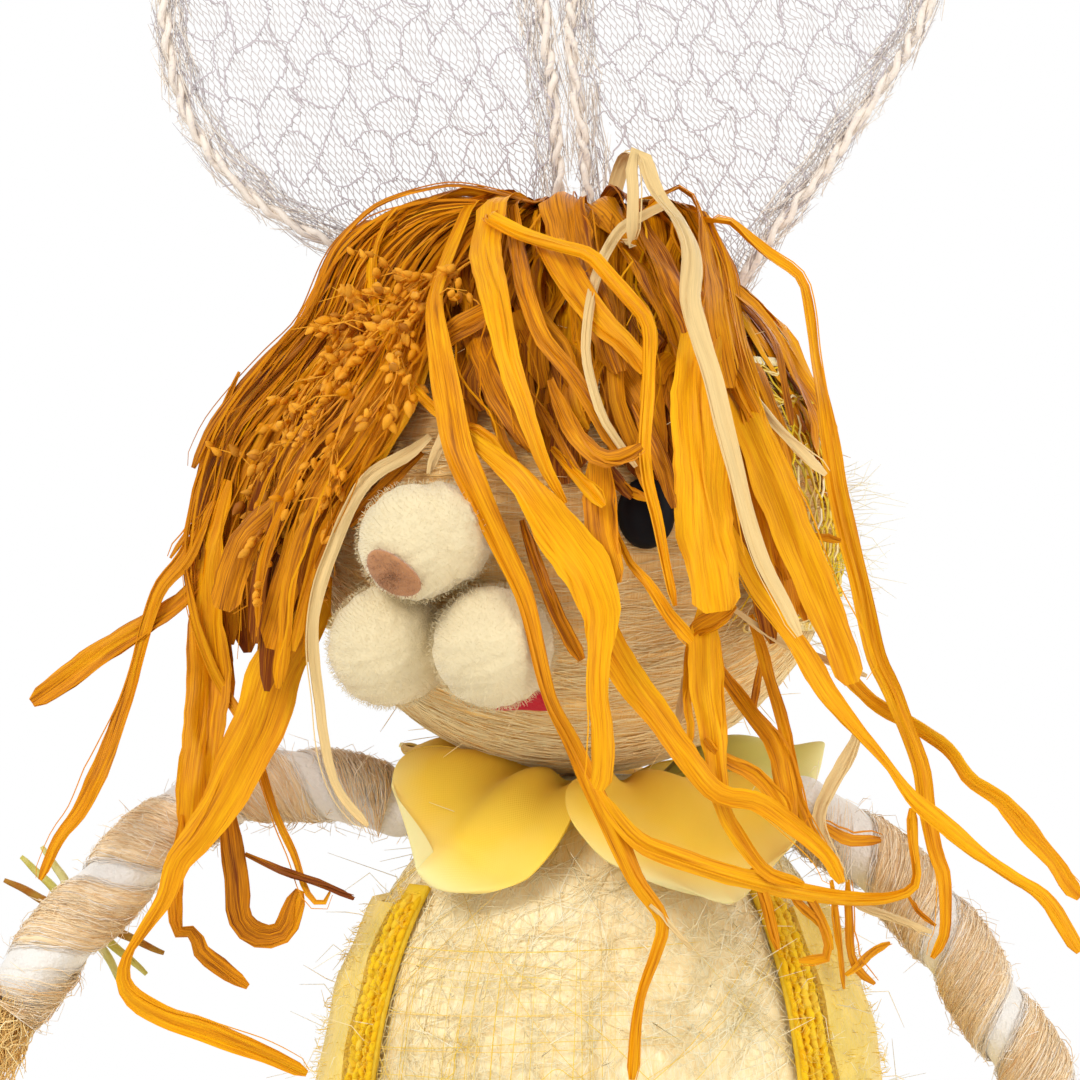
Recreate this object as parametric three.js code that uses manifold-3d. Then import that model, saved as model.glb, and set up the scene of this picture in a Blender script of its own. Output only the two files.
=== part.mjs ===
// A seated rabbit figure: a foam egg and a foam ball covered with sisal, limbs wound with sisal over wire,
// net ears on wire hoops, a mop of raffia, a collar of fabric petals and an open felt vest.
// Millimetres, +Z up, the face towards -Y, the origin in the middle of the flat seat.
import * as THREE from "three";
import { mergeVertices } from "three/addons/utils/BufferGeometryUtils.js";
import Module from "manifold-3d";

const wasm = await Module();
wasm.setup();

// Clearances
const GAP = 0.3; // between two pieces that touch on the real figure
const LAY = 0.9; // under a curved cover that lies on a faceted one

// Torso: a foam egg in a sisal cover, on a felt seat disc
const TORSO_TOP = 150;
const BELLY_R = 61;
const BELLY_Z = 55;
const SHOULDER_POWER = 2.3;
const HIP_POWER = 2.2;
const SEAT_R = 42;
const SEAT_T = 2;
const COVER_T = 2.5;
const ROUND_STEPS = 24;
const NECK_HOLE_R = 7;

// Head: a foam ball in a wound sisal cover, on a wooden dowel
const HEAD_R = 58;
const HEAD_RISE = 55;
const HEAD_X = -5;
const DOWEL_R = 4;
const DOWEL_LOW = 105;
const DOWEL_IN_HEAD = 62;

// Face
const FACE_YAW = 27.1;
const CHEEK_R = 12.7;
const CHEEK_SPREAD = 11.6;
const CHEEK_DROP = 26;
const NOSE_R = 12.7;
const NOSE_YAW = 28.3;
const NOSE_DROP = 4;
const NOSE_OUT = 1.8;
const NOSE_LOBE_R = 11.5;
const NOSE_LOBE_YAW = 3.6;
const NOSE_LOBE_RISE = 1.5;
const NOSE_TIP_YAW = 25;
const NOSE_TIP_PITCH = -31;
const NOSE_TIP_HALF = [7, 4.3];
const NOSE_TIP_LEAN = -45;
const NOSE_TIP_T = 1.2;
const EYE_SPREAD = 41.1;
const EYE_RISE = 2.2;
const EYE_HALF = [6.3, 7.6, 3.4];
const TONGUE_YAW = 17;
const TONGUE_DROP = 36.5;
const TONGUE_HALF = [6, 3.6];
const FELT_T = 1.4;

// Raffia mop
const HAIR_LIFT = 4.2;
const HAIR_ARCH = 9;
const RAFFIA_T = 1.1;
const STRAND_STEPS = 6;
const KNOT_R = 7.6;
const KNOT_H = 7;
const CROWN_POLAR = 13;
const NAPE_POLAR = 44;

// Millet sprig laid on the left of the mop
const SPRIG_LIFT = 17.5;
const SPRIG_POLAR = 22;
const STEM_R = 0.9;
const SEED_R = 2.2;
const SEED_STEPS = 12;
const SEED_TURNS = 18;

// Mesh ribbon round the back of the head
const WRAP_LOW = -22;
const WRAP_HIGH = 33;
const WRAP_T = 1.4;
const WRAP_FROM = 52;
const WRAP_TO = 268;

// Petal collar
const PETAL_ROOT_R = 13;
const PETAL_T = 1;

// Vest and its braided edges
const VEST_LOW = 48;
const VEST_HIGH = 122;
const VEST_T = 2.4;
const VEST_EDGES = [44, 306];
const TRIM_HIGH = 127;
const TRIM_T = 3.6;
const TRIM_WIDE = 11;

// Limbs: foam rod over wire, wound with a flat band of sisal
const LIMB_R = 7;
const WIRE_R = 1;
const BAND_W = 17;
const BAND_T = 1.5;
const BAND_PITCH = 25;
const BAND_START = 5;
const WIND_STEPS = 24;
const ELBOW_ROOM = 9.6;
const TIE_AT = 25; // from the elbow, where the stems are tied to the left forearm
const TIE_HALF = [3.4, 2.6, 3.4];
const SHOULDER_X = 43.6;
const SHOULDER_Z = 142.8;

// Legs and feet
const LEG_Z = 12.8;
const LEG_SPLAY = 16;
const LEG_FROM = 46;
const LEG_TO = 118;
const LEG_YAW = 29;
const FOOT_HALF = [18, 11.5, 30];
const SOLE_HALF = [11, 21];

// Tail
const TAIL_R = 14;
const TAIL_Z = 26;

// Ears: a wire hoop bound with cord, and a net
const EAR_Y = 18;
const HOOP_R = 1.6;
const NET_T = 0.8;
const NET_CELL = 8.6;
const NET_THREAD = 1.8;
const HOOP_STEPS = 30;

const HEAD_Z = TORSO_TOP + HEAD_RISE + GAP;
const HEAD_AT = new THREE.Vector3(HEAD_X, 0, HEAD_Z);
const radians = THREE.MathUtils.degToRad;
const at = (x, y, z) => new THREE.Vector3(x, y, z);

const figure = new THREE.Group();

const finishes = {
  sisal: new THREE.MeshStandardMaterial({ color: 0xdcb681, roughness: 0.85 }),
  foam: new THREE.MeshStandardMaterial({ color: 0xf1efe9, roughness: 0.9 }),
  wood: new THREE.MeshStandardMaterial({ color: 0xc79b62, roughness: 0.7 }),
  wire: new THREE.MeshStandardMaterial({ color: 0x8b8d90, roughness: 0.4, metalness: 0.9 }),
  cotton: new THREE.MeshStandardMaterial({ color: 0xefe6cd, roughness: 1 }),
  tanFelt: new THREE.MeshStandardMaterial({ color: 0xc48a60, roughness: 1 }),
  redFelt: new THREE.MeshStandardMaterial({ color: 0xc3142e, roughness: 1 }),
  blackGloss: new THREE.MeshStandardMaterial({ color: 0x0c0b0d, roughness: 0.25 }),
  raffia: new THREE.MeshStandardMaterial({ color: 0xe79a06, roughness: 0.6 }),
  millet: new THREE.MeshStandardMaterial({ color: 0xb8731e, roughness: 0.8 }),
  ribbon: new THREE.MeshStandardMaterial({ color: 0xd7cf6a, roughness: 0.9 }),
  petal: new THREE.MeshStandardMaterial({ color: 0xf6c544, roughness: 0.8 }),
  yellowFelt: new THREE.MeshStandardMaterial({ color: 0xecd762, roughness: 1 }),
  braid: new THREE.MeshStandardMaterial({ color: 0xf2c71f, roughness: 1 }),
  cord: new THREE.MeshStandardMaterial({ color: 0xefe6da, roughness: 1 }),
  net: new THREE.MeshStandardMaterial({ color: 0xe6e0dc, roughness: 1 }),
  stem: new THREE.MeshStandardMaterial({ color: 0xc6c39a, roughness: 0.8 }),
};

function add(name, geometry, finish, position = at(0, 0, 0)) {
  const mesh = new THREE.Mesh(geometry, finishes[finish]);
  mesh.name = name;
  mesh.position.copy(position);
  figure.add(mesh);
}

// Solids and booleans

function solid(geometry) {
  const bare = geometry.clone();
  bare.deleteAttribute("normal");
  bare.deleteAttribute("uv");
  const merged = mergeVertices(bare, 1e-3);
  return new wasm.Manifold(
    new wasm.Mesh({
      numProp: 3,
      vertProperties: merged.attributes.position.array,
      triVerts: new Uint32Array(merged.index.array),
    }),
  );
}

function geometryOf(manifold) {
  const mesh = manifold.getMesh();
  return new THREE.BufferGeometry()
    .setAttribute("position", new THREE.BufferAttribute(new Float32Array(mesh.vertProperties), 3))
    .setIndex(new THREE.BufferAttribute(new Uint32Array(mesh.triVerts), 1));
}

function cut(geometry, ...cutters) {
  return geometryOf(cutters.reduce((left, cutter) => left.subtract(solid(cutter)), solid(geometry)));
}

function common(...geometries) {
  return geometryOf(geometries.map(solid).reduce((a, b) => a.intersect(b)));
}

function join(...geometries) {
  return geometryOf(geometries.map(solid).reduce((a, b) => a.add(b)));
}

// Signed volume of an indexed mesh, negative where the faces point inwards.
function volumeOf(points, index) {
  const total = at(0, 0, 0);
  for (let i = 0; i < index.length; i += 3) {
    const [a, b, c] = [points[index[i]], points[index[i + 1]], points[index[i + 2]]];
    total.x += a.dot(b.clone().cross(c)) / 6;
  }
  return total.x;
}

function meshOf(points, index) {
  if (volumeOf(points, index) < 0) index.reverse();
  return new THREE.BufferGeometry().setFromPoints(points).setIndex(index);
}

// Walls between rings that each hold the same number of points.
function wallsOf(rings) {
  const sides = rings[0].length;
  const index = [];
  for (let i = 0; i < rings.length - 1; i++) {
    for (let j = 0; j < sides; j++) {
      const a = i * sides + j;
      const b = i * sides + ((j + 1) % sides);
      index.push(a, b, a + sides, b, b + sides, a + sides);
    }
  }
  return index;
}

// One closed body through rings of points, with a fan over each end.
function loft(rings) {
  const sides = rings[0].length;
  const points = rings.flat();
  const index = wallsOf(rings);
  const middle = (ring) => ring.reduce((sum, p) => sum.add(p), at(0, 0, 0)).divideScalar(ring.length);
  const first = points.push(middle(rings[0])) - 1;
  const last = points.push(middle(rings.at(-1))) - 1;
  const start = (rings.length - 1) * sides;
  for (let j = 0; j < sides; j++) {
    const next = (j + 1) % sides;
    index.push(first, next, j, last, start + j, start + next);
  }
  return meshOf(points, index);
}

// One closed sheet of a given thickness over surface(u, v), with u and v from 0 to 1.
function sheet(surface, uSteps, vSteps, thickness) {
  const step = 1e-3;
  const half = thickness / 2;
  const offset = (u, v, side) => {
    const along = surface(u + step, v).sub(surface(u - step, v));
    const across = surface(u, v + step).sub(surface(u, v - step));
    return surface(u, v).addScaledVector(along.cross(across).normalize(), side * half);
  };
  const row = Array.from({ length: vSteps + 1 }, (_, j) => j / vSteps);
  const rings = Array.from({ length: uSteps + 1 }, (_, i) => [
    ...row.map((v) => offset(i / uSteps, v, 1)),
    ...row.toReversed().map((v) => offset(i / uSteps, v, -1)),
  ]);
  const sides = rings[0].length;
  const index = wallsOf(rings);
  const start = uSteps * sides;
  for (let j = 0; j < vSteps; j++) {
    const [a, b, c, d] = [j, j + 1, sides - 2 - j, sides - 1 - j];
    index.push(a, c, b, a, d, c);
    index.push(start + a, start + b, start + c, start + a, start + c, start + d);
  }
  return meshOf(rings.flat(), index);
}

function ellipsoid(x, y, z, around = 14, down = 8) {
  return new THREE.SphereGeometry(1, around, down).rotateX(Math.PI / 2).scale(x, y, z);
}

function rod(radius, from, to, sides = 8) {
  const length = from.distanceTo(to);
  const turn = new THREE.Quaternion().setFromUnitVectors(at(0, 1, 0), to.clone().sub(from).normalize());
  const middle = from.clone().add(to).divideScalar(2);
  return new THREE.CylinderGeometry(radius, radius, length, sides)
    .applyQuaternion(turn)
    .translate(middle.x, middle.y, middle.z);
}

// The direction on the floor plan at an angle from the front, positive towards +X.
function bearing(degrees) {
  return at(Math.sin(radians(degrees)), -Math.cos(radians(degrees)), 0);
}

// Torso

// Half outline of the torso from the seat's edge to the top, moved inwards by inset: two superellipse arcs.
function torsoProfile(inset, steps = 8) {
  const points = [];
  const hipSteps = Math.round(steps * 0.4);
  for (let i = 0; i <= hipSteps; i++) {
    const t = (Math.PI / 2) * (1 - i / hipSteps);
    const r = SEAT_R + (BELLY_R - SEAT_R) * Math.cos(t) ** (2 / HIP_POWER) - inset;
    points.push(new THREE.Vector2(r, BELLY_Z - (BELLY_Z - SEAT_T - GAP) * Math.sin(t) ** (2 / HIP_POWER)));
  }
  for (let i = 1; i <= steps; i++) {
    const t = (Math.PI / 2) * (i / steps);
    const r = (BELLY_R - inset) * Math.cos(t) ** (2 / SHOULDER_POWER);
    const z = BELLY_Z + (TORSO_TOP - inset - BELLY_Z) * Math.sin(t) ** (2 / SHOULDER_POWER);
    points.push(new THREE.Vector2(i === steps ? 0 : r, z));
  }
  return points;
}

// Outer radius of the torso's cover at a height.
function torsoR(z) {
  if (z >= BELLY_Z) {
    const u = Math.min(1, (z - BELLY_Z) / (TORSO_TOP - BELLY_Z));
    return BELLY_R * (1 - u ** SHOULDER_POWER) ** (1 / SHOULDER_POWER);
  }
  const w = (BELLY_Z - z) / (BELLY_Z - SEAT_T - GAP);
  return SEAT_R + (BELLY_R - SEAT_R) * (1 - Math.min(1, w) ** HIP_POWER) ** (1 / HIP_POWER);
}

function torsoBody(inset, steps = ROUND_STEPS) {
  const profile = torsoProfile(inset);
  const middle = new THREE.Vector2(0, profile[0].y);
  return new THREE.LatheGeometry([middle, ...profile], steps).rotateX(Math.PI / 2);
}

const shoulders = { left: at(-SHOULDER_X, 0, SHOULDER_Z), right: at(SHOULDER_X, 0, SHOULDER_Z) };
const neckHole = (radius) => rod(radius, at(HEAD_X, 0, DOWEL_LOW - GAP), at(HEAD_X, 0, HEAD_Z), 12);
const wireHalf = at(SHOULDER_X - LIMB_R - GAP, 0, 0);
const wireMiddle = at(0, 0, SHOULDER_Z);
const wireEnds = [wireMiddle.clone().sub(wireHalf), wireMiddle.clone().add(wireHalf)];
const wireHole = rod(WIRE_R + GAP, shoulders.left, shoulders.right);
const wireDiscEdge = (side) => at(HEAD_X + side * (DOWEL_R + WIRE_R), 0, SHOULDER_Z);

// The eye in the middle of the shoulder wire, before the dowel's hole is cut in it.
function wireDisc(grow) {
  const radius = DOWEL_R + 2 * WIRE_R + GAP + grow;
  const half = at(0, 0, WIRE_R + grow);
  const centre = at(HEAD_X, 0, SHOULDER_Z);
  return rod(radius, centre.clone().sub(half), centre.clone().add(half), 16);
}

function addTorso() {
  const below = at(0, 0, SEAT_T + GAP);
  const hollow = torsoBody(COVER_T);
  const bottomless = new THREE.CylinderGeometry(SEAT_R - COVER_T, SEAT_R - COVER_T, 4, ROUND_STEPS)
    .rotateX(Math.PI / 2)
    .translate(0, 0, below.z);
  add("torso_cover", cut(torsoBody(0), hollow, bottomless, neckHole(NECK_HOLE_R), wireHole), "sisal");
  const core = torsoBody(COVER_T + GAP, ROUND_STEPS / 2);
  add("torso_core", cut(core, neckHole(DOWEL_R + GAP), wireHole, wireDisc(GAP)), "foam");
  const disc = new THREE.CylinderGeometry(SEAT_R, SEAT_R, SEAT_T, ROUND_STEPS).rotateX(Math.PI / 2);
  add("seat_disc", disc, "yellowFelt", at(0, 0, SEAT_T / 2));
  const halves = [rod(WIRE_R, wireEnds[0], wireDiscEdge(-1)), rod(WIRE_R, wireDiscEdge(1), wireEnds[1])];
  add("shoulder_wire", cut(join(wireDisc(0), ...halves), neckHole(DOWEL_R + GAP)), "wire");
}

// Head

// The point at a bearing and height off the head's centre that stands clear of the head's cover.
function besideHead(degrees, rise, clear) {
  const reach = (HEAD_R + clear) * Math.sqrt(Math.max(0, 1 - (rise / (HEAD_RISE + clear)) ** 2));
  return HEAD_AT.clone()
    .addScaledVector(bearing(degrees), reach)
    .add(at(0, 0, rise));
}

// The point at a bearing and an angle from the head's top, at a height above the cover.
function overHead(degrees, polar, lift) {
  return HEAD_AT.clone()
    .addScaledVector(bearing(degrees), (HEAD_R + lift) * Math.sin(radians(polar)))
    .add(at(0, 0, (HEAD_RISE + lift) * Math.cos(radians(polar))));
}

function headBall(inset, steps = ROUND_STEPS) {
  return ellipsoid(HEAD_R - inset, HEAD_R - inset, HEAD_RISE - inset, steps, 11).translate(...HEAD_AT);
}

function addHead(earRoots) {
  const dowelTop = at(HEAD_X, 0, TORSO_TOP + DOWEL_IN_HEAD);
  const holeTop = dowelTop.clone().add(at(0, 0, GAP));
  const dowelHole = (radius) => rod(radius, at(HEAD_X, 0, TORSO_TOP - NECK_HOLE_R), holeTop, 12);
  const socketR = HOOP_R + 2 * GAP;
  const sockets = earRoots.map((root) => ellipsoid(socketR, socketR, socketR, 8, 5).translate(...root));
  add("head_cover", cut(headBall(0), headBall(COVER_T), dowelHole(NECK_HOLE_R), ...sockets), "sisal");
  add("head_core", cut(headBall(COVER_T + GAP, ROUND_STEPS / 2), dowelHole(DOWEL_R + GAP)), "foam");
  add("neck_dowel", rod(DOWEL_R, at(HEAD_X, 0, DOWEL_LOW), dowelTop, 12), "wood");
}

// Face

function addFace() {
  const cheek = (side) => besideHead(-FACE_YAW + side * CHEEK_SPREAD, -CHEEK_DROP, CHEEK_R + GAP);
  add("cheek_left", ellipsoid(CHEEK_R, CHEEK_R, CHEEK_R), "cotton", cheek(-1));
  add("cheek_right", ellipsoid(CHEEK_R, CHEEK_R, CHEEK_R), "cotton", cheek(1));
  const nose = besideHead(-NOSE_YAW, -NOSE_DROP, NOSE_R + NOSE_OUT);
  const lobe = besideHead(-NOSE_YAW + NOSE_LOBE_YAW, NOSE_LOBE_RISE - NOSE_DROP, NOSE_LOBE_R + GAP);
  const ball = (radius, centre) => ellipsoid(radius, radius, radius).translate(...centre);
  add("nose_pompom", join(ball(NOSE_R, nose), ball(NOSE_LOBE_R, lobe)), "cotton");
  const facing = bearing(-NOSE_TIP_YAW)
    .multiplyScalar(Math.cos(radians(NOSE_TIP_PITCH)))
    .add(at(0, 0, Math.sin(radians(NOSE_TIP_PITCH))));
  // An oval rod along a direction. Its long way leans up from level by an angle.
  const oval = (halves, depth, direction, lean = 0) => {
    const level = at(0, 0, 1).cross(direction).normalize();
    const long = level.applyAxisAngle(direction, radians(lean));
    const basis = new THREE.Matrix4().makeBasis(long, direction, long.clone().cross(direction));
    return new THREE.CylinderGeometry(1, 1, depth, 12).scale(halves[0], 1, halves[1]).applyMatrix4(basis);
  };
  const sphere = (radius) => ellipsoid(radius, radius, radius, 14, 8).translate(...nose);
  const front = nose.clone().addScaledVector(facing, NOSE_R);
  const window = oval(NOSE_TIP_HALF, NOSE_R, facing, NOSE_TIP_LEAN).translate(...front);
  const tip = common(sphere(NOSE_R + GAP + NOSE_TIP_T), window);
  add("nose_tip", cut(tip, sphere(NOSE_R + GAP)), "tanFelt");
  for (const [name, side] of [["eye_left", -1], ["eye_right", 1]]) {
    const yaw = -FACE_YAW + side * EYE_SPREAD;
    const bead = ellipsoid(EYE_HALF[0], EYE_HALF[2], EYE_HALF[1], 14, 7).rotateZ(radians(yaw));
    add(name, cut(bead.translate(...besideHead(yaw, EYE_RISE, 0)), headBall(-GAP)), "blackGloss");
  }
  const lip = besideHead(-TONGUE_YAW, -TONGUE_DROP, 0);
  const plate = oval(TONGUE_HALF, 4 * FELT_T, lip.clone().sub(HEAD_AT).normalize()).translate(...lip);
  add("tongue", cut(common(plate, headBall(-GAP - FELT_T)), headBall(-GAP)), "redFelt");
}

// Mop

// One flat strand: it leaves the crown, arches, lies down the head to the hang angle and then hangs free.
function strand({ from, to, polar, hang = 92, end, flare = 0, width, lift = 0 }) {
  const rings = [];
  for (let i = 0; i <= STRAND_STEPS; i++) {
    const t = i / STRAND_STEPS;
    const onHead = Math.min(1, t / 0.55);
    const free = Math.max(0, (t - 0.55) / 0.45);
    const degrees = from + (to - from) * t;
    const arch = HAIR_ARCH * Math.sin(Math.PI * Math.min(1, onHead * 1.3)) * (polar < 30 ? 1 : 0.25);
    const rest = overHead(degrees, polar + (hang - polar) * onHead, HAIR_LIFT + arch + lift * onHead);
    rest.z -= free * (rest.z - end);
    rest.addScaledVector(bearing(degrees), flare * free ** 1.3);
    const outward = bearing(degrees)
      .multiplyScalar(Math.sin(radians(Math.min(90, polar + (hang - polar) * onHead))))
      .add(at(0, 0, Math.max(0, Math.cos(radians(polar + (hang - polar) * onHead)))))
      .normalize();
    const taper = Math.min(1, 0.4 + 1.5 * t) * (t > 0.9 ? 0.6 : 1);
    const side = bearing(degrees + 90).multiplyScalar((width / 2) * taper);
    const out = outward.multiplyScalar(RAFFIA_T / 2);
    rings.push([
      rest.clone().add(side).add(out),
      rest.clone().sub(side).add(out),
      rest.clone().sub(side).sub(out),
      rest.clone().add(side).sub(out),
    ]);
  }
  return loft(rings);
}

// The strip of tied roots that strands grow from, lying on the head between two bearings.
function rootStrip(from, to, polar, height) {
  const surface = (u, v) => overHead(from + (to - from) * u, polar - 5 + 9 * v, GAP + height / 2);
  return sheet(surface, Math.max(3, Math.round((to - from) / 20)), 1, height);
}

// A lock: strands spread evenly between two bearings, each with its end height, flare and width from a list.
function lock(roots, ends, polar, strands) {
  const made = strands.map(([end, flare, width, lift = 0], i) => {
    const share = (i + 0.5) / strands.length;
    return strand({
      from: roots[0] + (roots[1] - roots[0]) * share,
      to: ends[0] + (ends[1] - ends[0]) * share,
      polar,
      end,
      flare,
      width,
      lift,
    });
  });
  return join(rootStrip(roots[0], roots[1], polar, HAIR_LIFT + 1), ...made);
}

function addMop() {
  const leftStrands = [
    [180, 6, 7], [176, 9, 7], [173, 14, 8], [104, 36, 9, 2], [112, 28, 8], [96, 30, 9, 2], [128, 22, 7],
    [150, 12, 6],
  ];
  const frontStrands = [
    [224, 0, 5], [228, 0, 5], [230, 0, 5], [226, 0, 5], [118, 4, 7, 27], [128, 6, 7, 24], [112, 12, 8, 12],
    [104, 16, 7, 4], [132, 15, 8], [110, 18, 7], [120, 20, 7],
  ];
  const rightStrands = [
    [108, 24, 8], [126, 30, 7], [100, 36, 8], [112, 44, 7], [130, 34, 8], [148, 20, 7], [172, 9, 7],
    [176, 6, 7],
  ];
  const backStrands = [
    [158, 4, 8], [150, 5, 8], [142, 6, 9], [148, 5, 8], [138, 6, 9], [144, 5, 8], [140, 6, 9],
    [150, 5, 8], [158, 4, 8],
  ];
  add("hair_left", lock([-98, -52], [-95, -50], CROWN_POLAR, leftStrands), "raffia");
  add("hair_front", lock([-44, 20], [-48, 34], CROWN_POLAR, frontStrands), "raffia");
  add("hair_right", lock([28, 98], [40, 98], CROWN_POLAR, rightStrands), "raffia");
  add("hair_back", lock([138, 222], [112, 248], NAPE_POLAR, backStrands), "raffia");
  const knot = ellipsoid(KNOT_R, KNOT_R, KNOT_H, 12, 8).translate(...overHead(0, 0, 1));
  add("hair_knot", cut(knot, headBall(-GAP)), "raffia");
}

function addSprig() {
  const heads = [[-68, -92, 62], [-64, -82, 80], [-60, -72, 70], [-56, -62, 82], [-52, -54, 66]];
  const parts = heads.map(([from, to, reach]) => {
    const path = [0, 1, 2, 3, 4, 5].map((i) => {
      const t = i / 5;
      return overHead(from + (to - from) * t, SPRIG_POLAR + reach * t, SPRIG_LIFT - 3 * (1 - t));
    });
    const curve = new THREE.CatmullRomCurve3(path);
    const swell = (share) => (share < 0.4 ? 0 : Math.sin(SEED_TURNS * share) ** 2);
    const seeds = (share) => STEM_R + (SEED_R - STEM_R) * swell(share);
    return loft(tubeRings(curve, SEED_STEPS, seeds, 4, at(0, 0, 1)));
  });
  const ends = [heads[0][0] - 2, (heads[0][0] + heads.at(-1)[0]) / 2, heads.at(-1)[0] + 2];
  const tie = new THREE.CatmullRomCurve3(ends.map((from) => overHead(from, SPRIG_POLAR + 1, SPRIG_LIFT - 3)));
  parts.push(loft(tubeRings(tie, 4, () => SEED_R, 5, at(0, 0, 1))));
  add("millet_sprig", join(...parts), "millet");
}

function addRibbonWrap() {
  const turn = (u) => WRAP_FROM + (WRAP_TO - WRAP_FROM) * u;
  const rise = (v) => WRAP_LOW + (WRAP_HIGH - WRAP_LOW) * v;
  const surface = (u, v) => besideHead(turn(u), rise(v), LAY + WRAP_T / 2);
  add("ribbon_wrap", sheet(surface, 16, 4, WRAP_T), "ribbon");
}

// Collar

// A petal grows from the neck along a bearing. Its height follows a drop to the tip and a lift at each side.
function petal({ facing, length, half, start, drop, liftLeft = 0, liftRight = 0 }) {
  const out = bearing(facing);
  const side = bearing(facing + 90);
  const surface = (u, v) => {
    const across = 2 * v - 1;
    const spread = 5 + (half - 5) * Math.sin((Math.PI / 2) * Math.min(1, Math.max(0, u) * 1.5)) ** 1.1;
    const round = Math.sqrt(Math.max(0.05, 1 - (Math.max(0, u - 0.55) / 0.5) ** 2));
    const reach = length * u * (1 - 0.22 * across ** 2 * u);
    const lift = (across < 0 ? liftLeft : liftRight) * across ** 2 * u;
    return at(0, 0, start - drop * u * Math.sqrt(Math.abs(u)) + lift)
      .addScaledVector(out, PETAL_ROOT_R + reach)
      .addScaledVector(side, across * spread * round);
  };
  return sheet(surface, 6, 4, PETAL_T);
}

function addCollar() {
  const petals = {
    petal_front_left: {
      facing: -43, length: 45, half: 25, start: 149.6, drop: 22, liftLeft: 6, liftRight: -4,
    },
    petal_front_right: {
      facing: 27, length: 48, half: 29, start: 149.7, drop: 24, liftLeft: 4, liftRight: 2,
    },
    petal_right: { facing: 100, length: 38, half: 22, start: 149.6, drop: -9 },
    petal_back: { facing: 172, length: 38, half: 25, start: 149.6, drop: 14 },
    petal_left: { facing: -112, length: 38, half: 21, start: 149.7, drop: -9 },
  };
  for (const [name, shape] of Object.entries(petals)) add(name, petal(shape), "petal");
}

// Vest

// A piece of cloth round the torso between two bearings and two heights, standing off its cover.
function torsoWrap(from, to, low, high, off, thickness, uSteps, vSteps) {
  const surface = (u, v) => {
    const z = low + (high - low) * v;
    return bearing(from + (to - from) * u)
      .multiplyScalar(torsoR(z) + off + thickness / 2)
      .setZ(z);
  };
  return sheet(surface, uSteps, vSteps, thickness);
}

function addVest() {
  const trimTurn = THREE.MathUtils.radToDeg(TRIM_WIDE / torsoR((VEST_LOW + VEST_HIGH) / 2));
  const play = THREE.MathUtils.radToDeg((2 * GAP) / torsoR(VEST_HIGH));
  const [right, left] = VEST_EDGES;
  const [from, to] = [right + trimTurn + play, left - trimTurn - play];
  add("vest", torsoWrap(from, to, VEST_LOW, VEST_HIGH, LAY, VEST_T, 16, 5), "yellowFelt");
  add("vest_trim_right", torsoWrap(right, right + trimTurn, VEST_LOW, TRIM_HIGH, LAY, TRIM_T, 2, 8), "braid");
  add("vest_trim_left", torsoWrap(left - trimTurn, left, VEST_LOW, TRIM_HIGH, LAY, TRIM_T, 2, 8), "braid");
}

// Limbs

// Directions across a limb's middle line at a share of its length.
function across(curve, share, reference) {
  const along = curve.getTangentAt(share);
  const normal = reference.clone().addScaledVector(along, -along.dot(reference)).normalize();
  return { along, normal, binormal: along.clone().cross(normal) };
}

function ringAt(centre, frame, radius, sides) {
  return Array.from({ length: sides }, (_, j) => {
    const angle = (2 * Math.PI * j) / sides;
    return centre
      .clone()
      .addScaledVector(frame.normal, radius * Math.cos(angle))
      .addScaledVector(frame.binormal, radius * Math.sin(angle));
  });
}

function tubeRings(curve, steps, radius, sides, reference) {
  return Array.from({ length: steps + 1 }, (_, i) => {
    const share = i / steps;
    return ringAt(curve.getPointAt(share), across(curve, share, reference), radius(share), sides);
  });
}

// A foam rod along a curve, with a ball end where it starts and a blind bore for its wire from the far end.
function limbCore(curve, reference) {
  const frame = across(curve, 0, reference);
  const ball = [8, 30, 55, 75].map((degrees) =>
    ringAt(
      curve.getPointAt(0).addScaledVector(frame.along, -LIMB_R * Math.cos(radians(degrees))),
      frame,
      LIMB_R * Math.sin(radians(degrees)),
      8,
    ),
  );
  const body = loft([...ball, ...tubeRings(curve, 5, () => LIMB_R, 8, reference)]);
  return cut(body, limbWire(curve, WIRE_R + GAP, reference, GAP));
}

// The wire in a limb, which stops short of the ball end. It reaches past the far end by the extra length.
function limbWire(curve, radius, reference, extra) {
  const rings = tubeRings(curve, 5, () => radius, 6, reference);
  const frame = across(curve, 1, reference);
  const start = across(curve, 0, reference);
  const back = extra > 0 ? -GAP : 0;
  rings[0] = ringAt(curve.getPointAt(0).addScaledVector(start.along, back), start, radius, 6);
  if (extra > 0) rings.push(ringAt(curve.getPointAt(1).addScaledVector(frame.along, 2), frame, radius, 6));
  return loft(rings);
}

// A flat band wound along a limb in one unbroken helix: 6 points round the band, WIND_STEPS steps a turn.
// The band faces the reference direction at the place called facing.
function winding(name, curve, start, stop, reference, facing) {
  const length = curve.getLength();
  const turns = (stop - start - BAND_W) / BAND_PITCH;
  const steps = Math.ceil(turns * WIND_STEPS);
  const section = [[0.5, 0.1], [0.22, 0.5], [-0.22, 0.5], [-0.5, 0.1], [-0.26, -0.5], [0.26, -0.5]];
  const rings = Array.from({ length: steps + 1 }, (_, i) => {
    const middle = start + BAND_W / 2 + (stop - start - BAND_W) * (i / steps);
    const angle = (2 * Math.PI * (middle - facing)) / BAND_PITCH;
    return section.map(([w, t]) => {
      const share = Math.min(1, (middle + w * BAND_W) / length);
      const frame = across(curve, share, reference);
      const radial = frame.normal.multiplyScalar(Math.cos(angle));
      radial.addScaledVector(frame.binormal, Math.sin(angle));
      return curve.getPointAt(share).addScaledVector(radial, LIMB_R + GAP + BAND_T * (0.5 + t));
    });
  });
  console.log(name + " least gap to itself " + leastGap(rings).toFixed(2) + " mm");
  return loft(rings);
}

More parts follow.
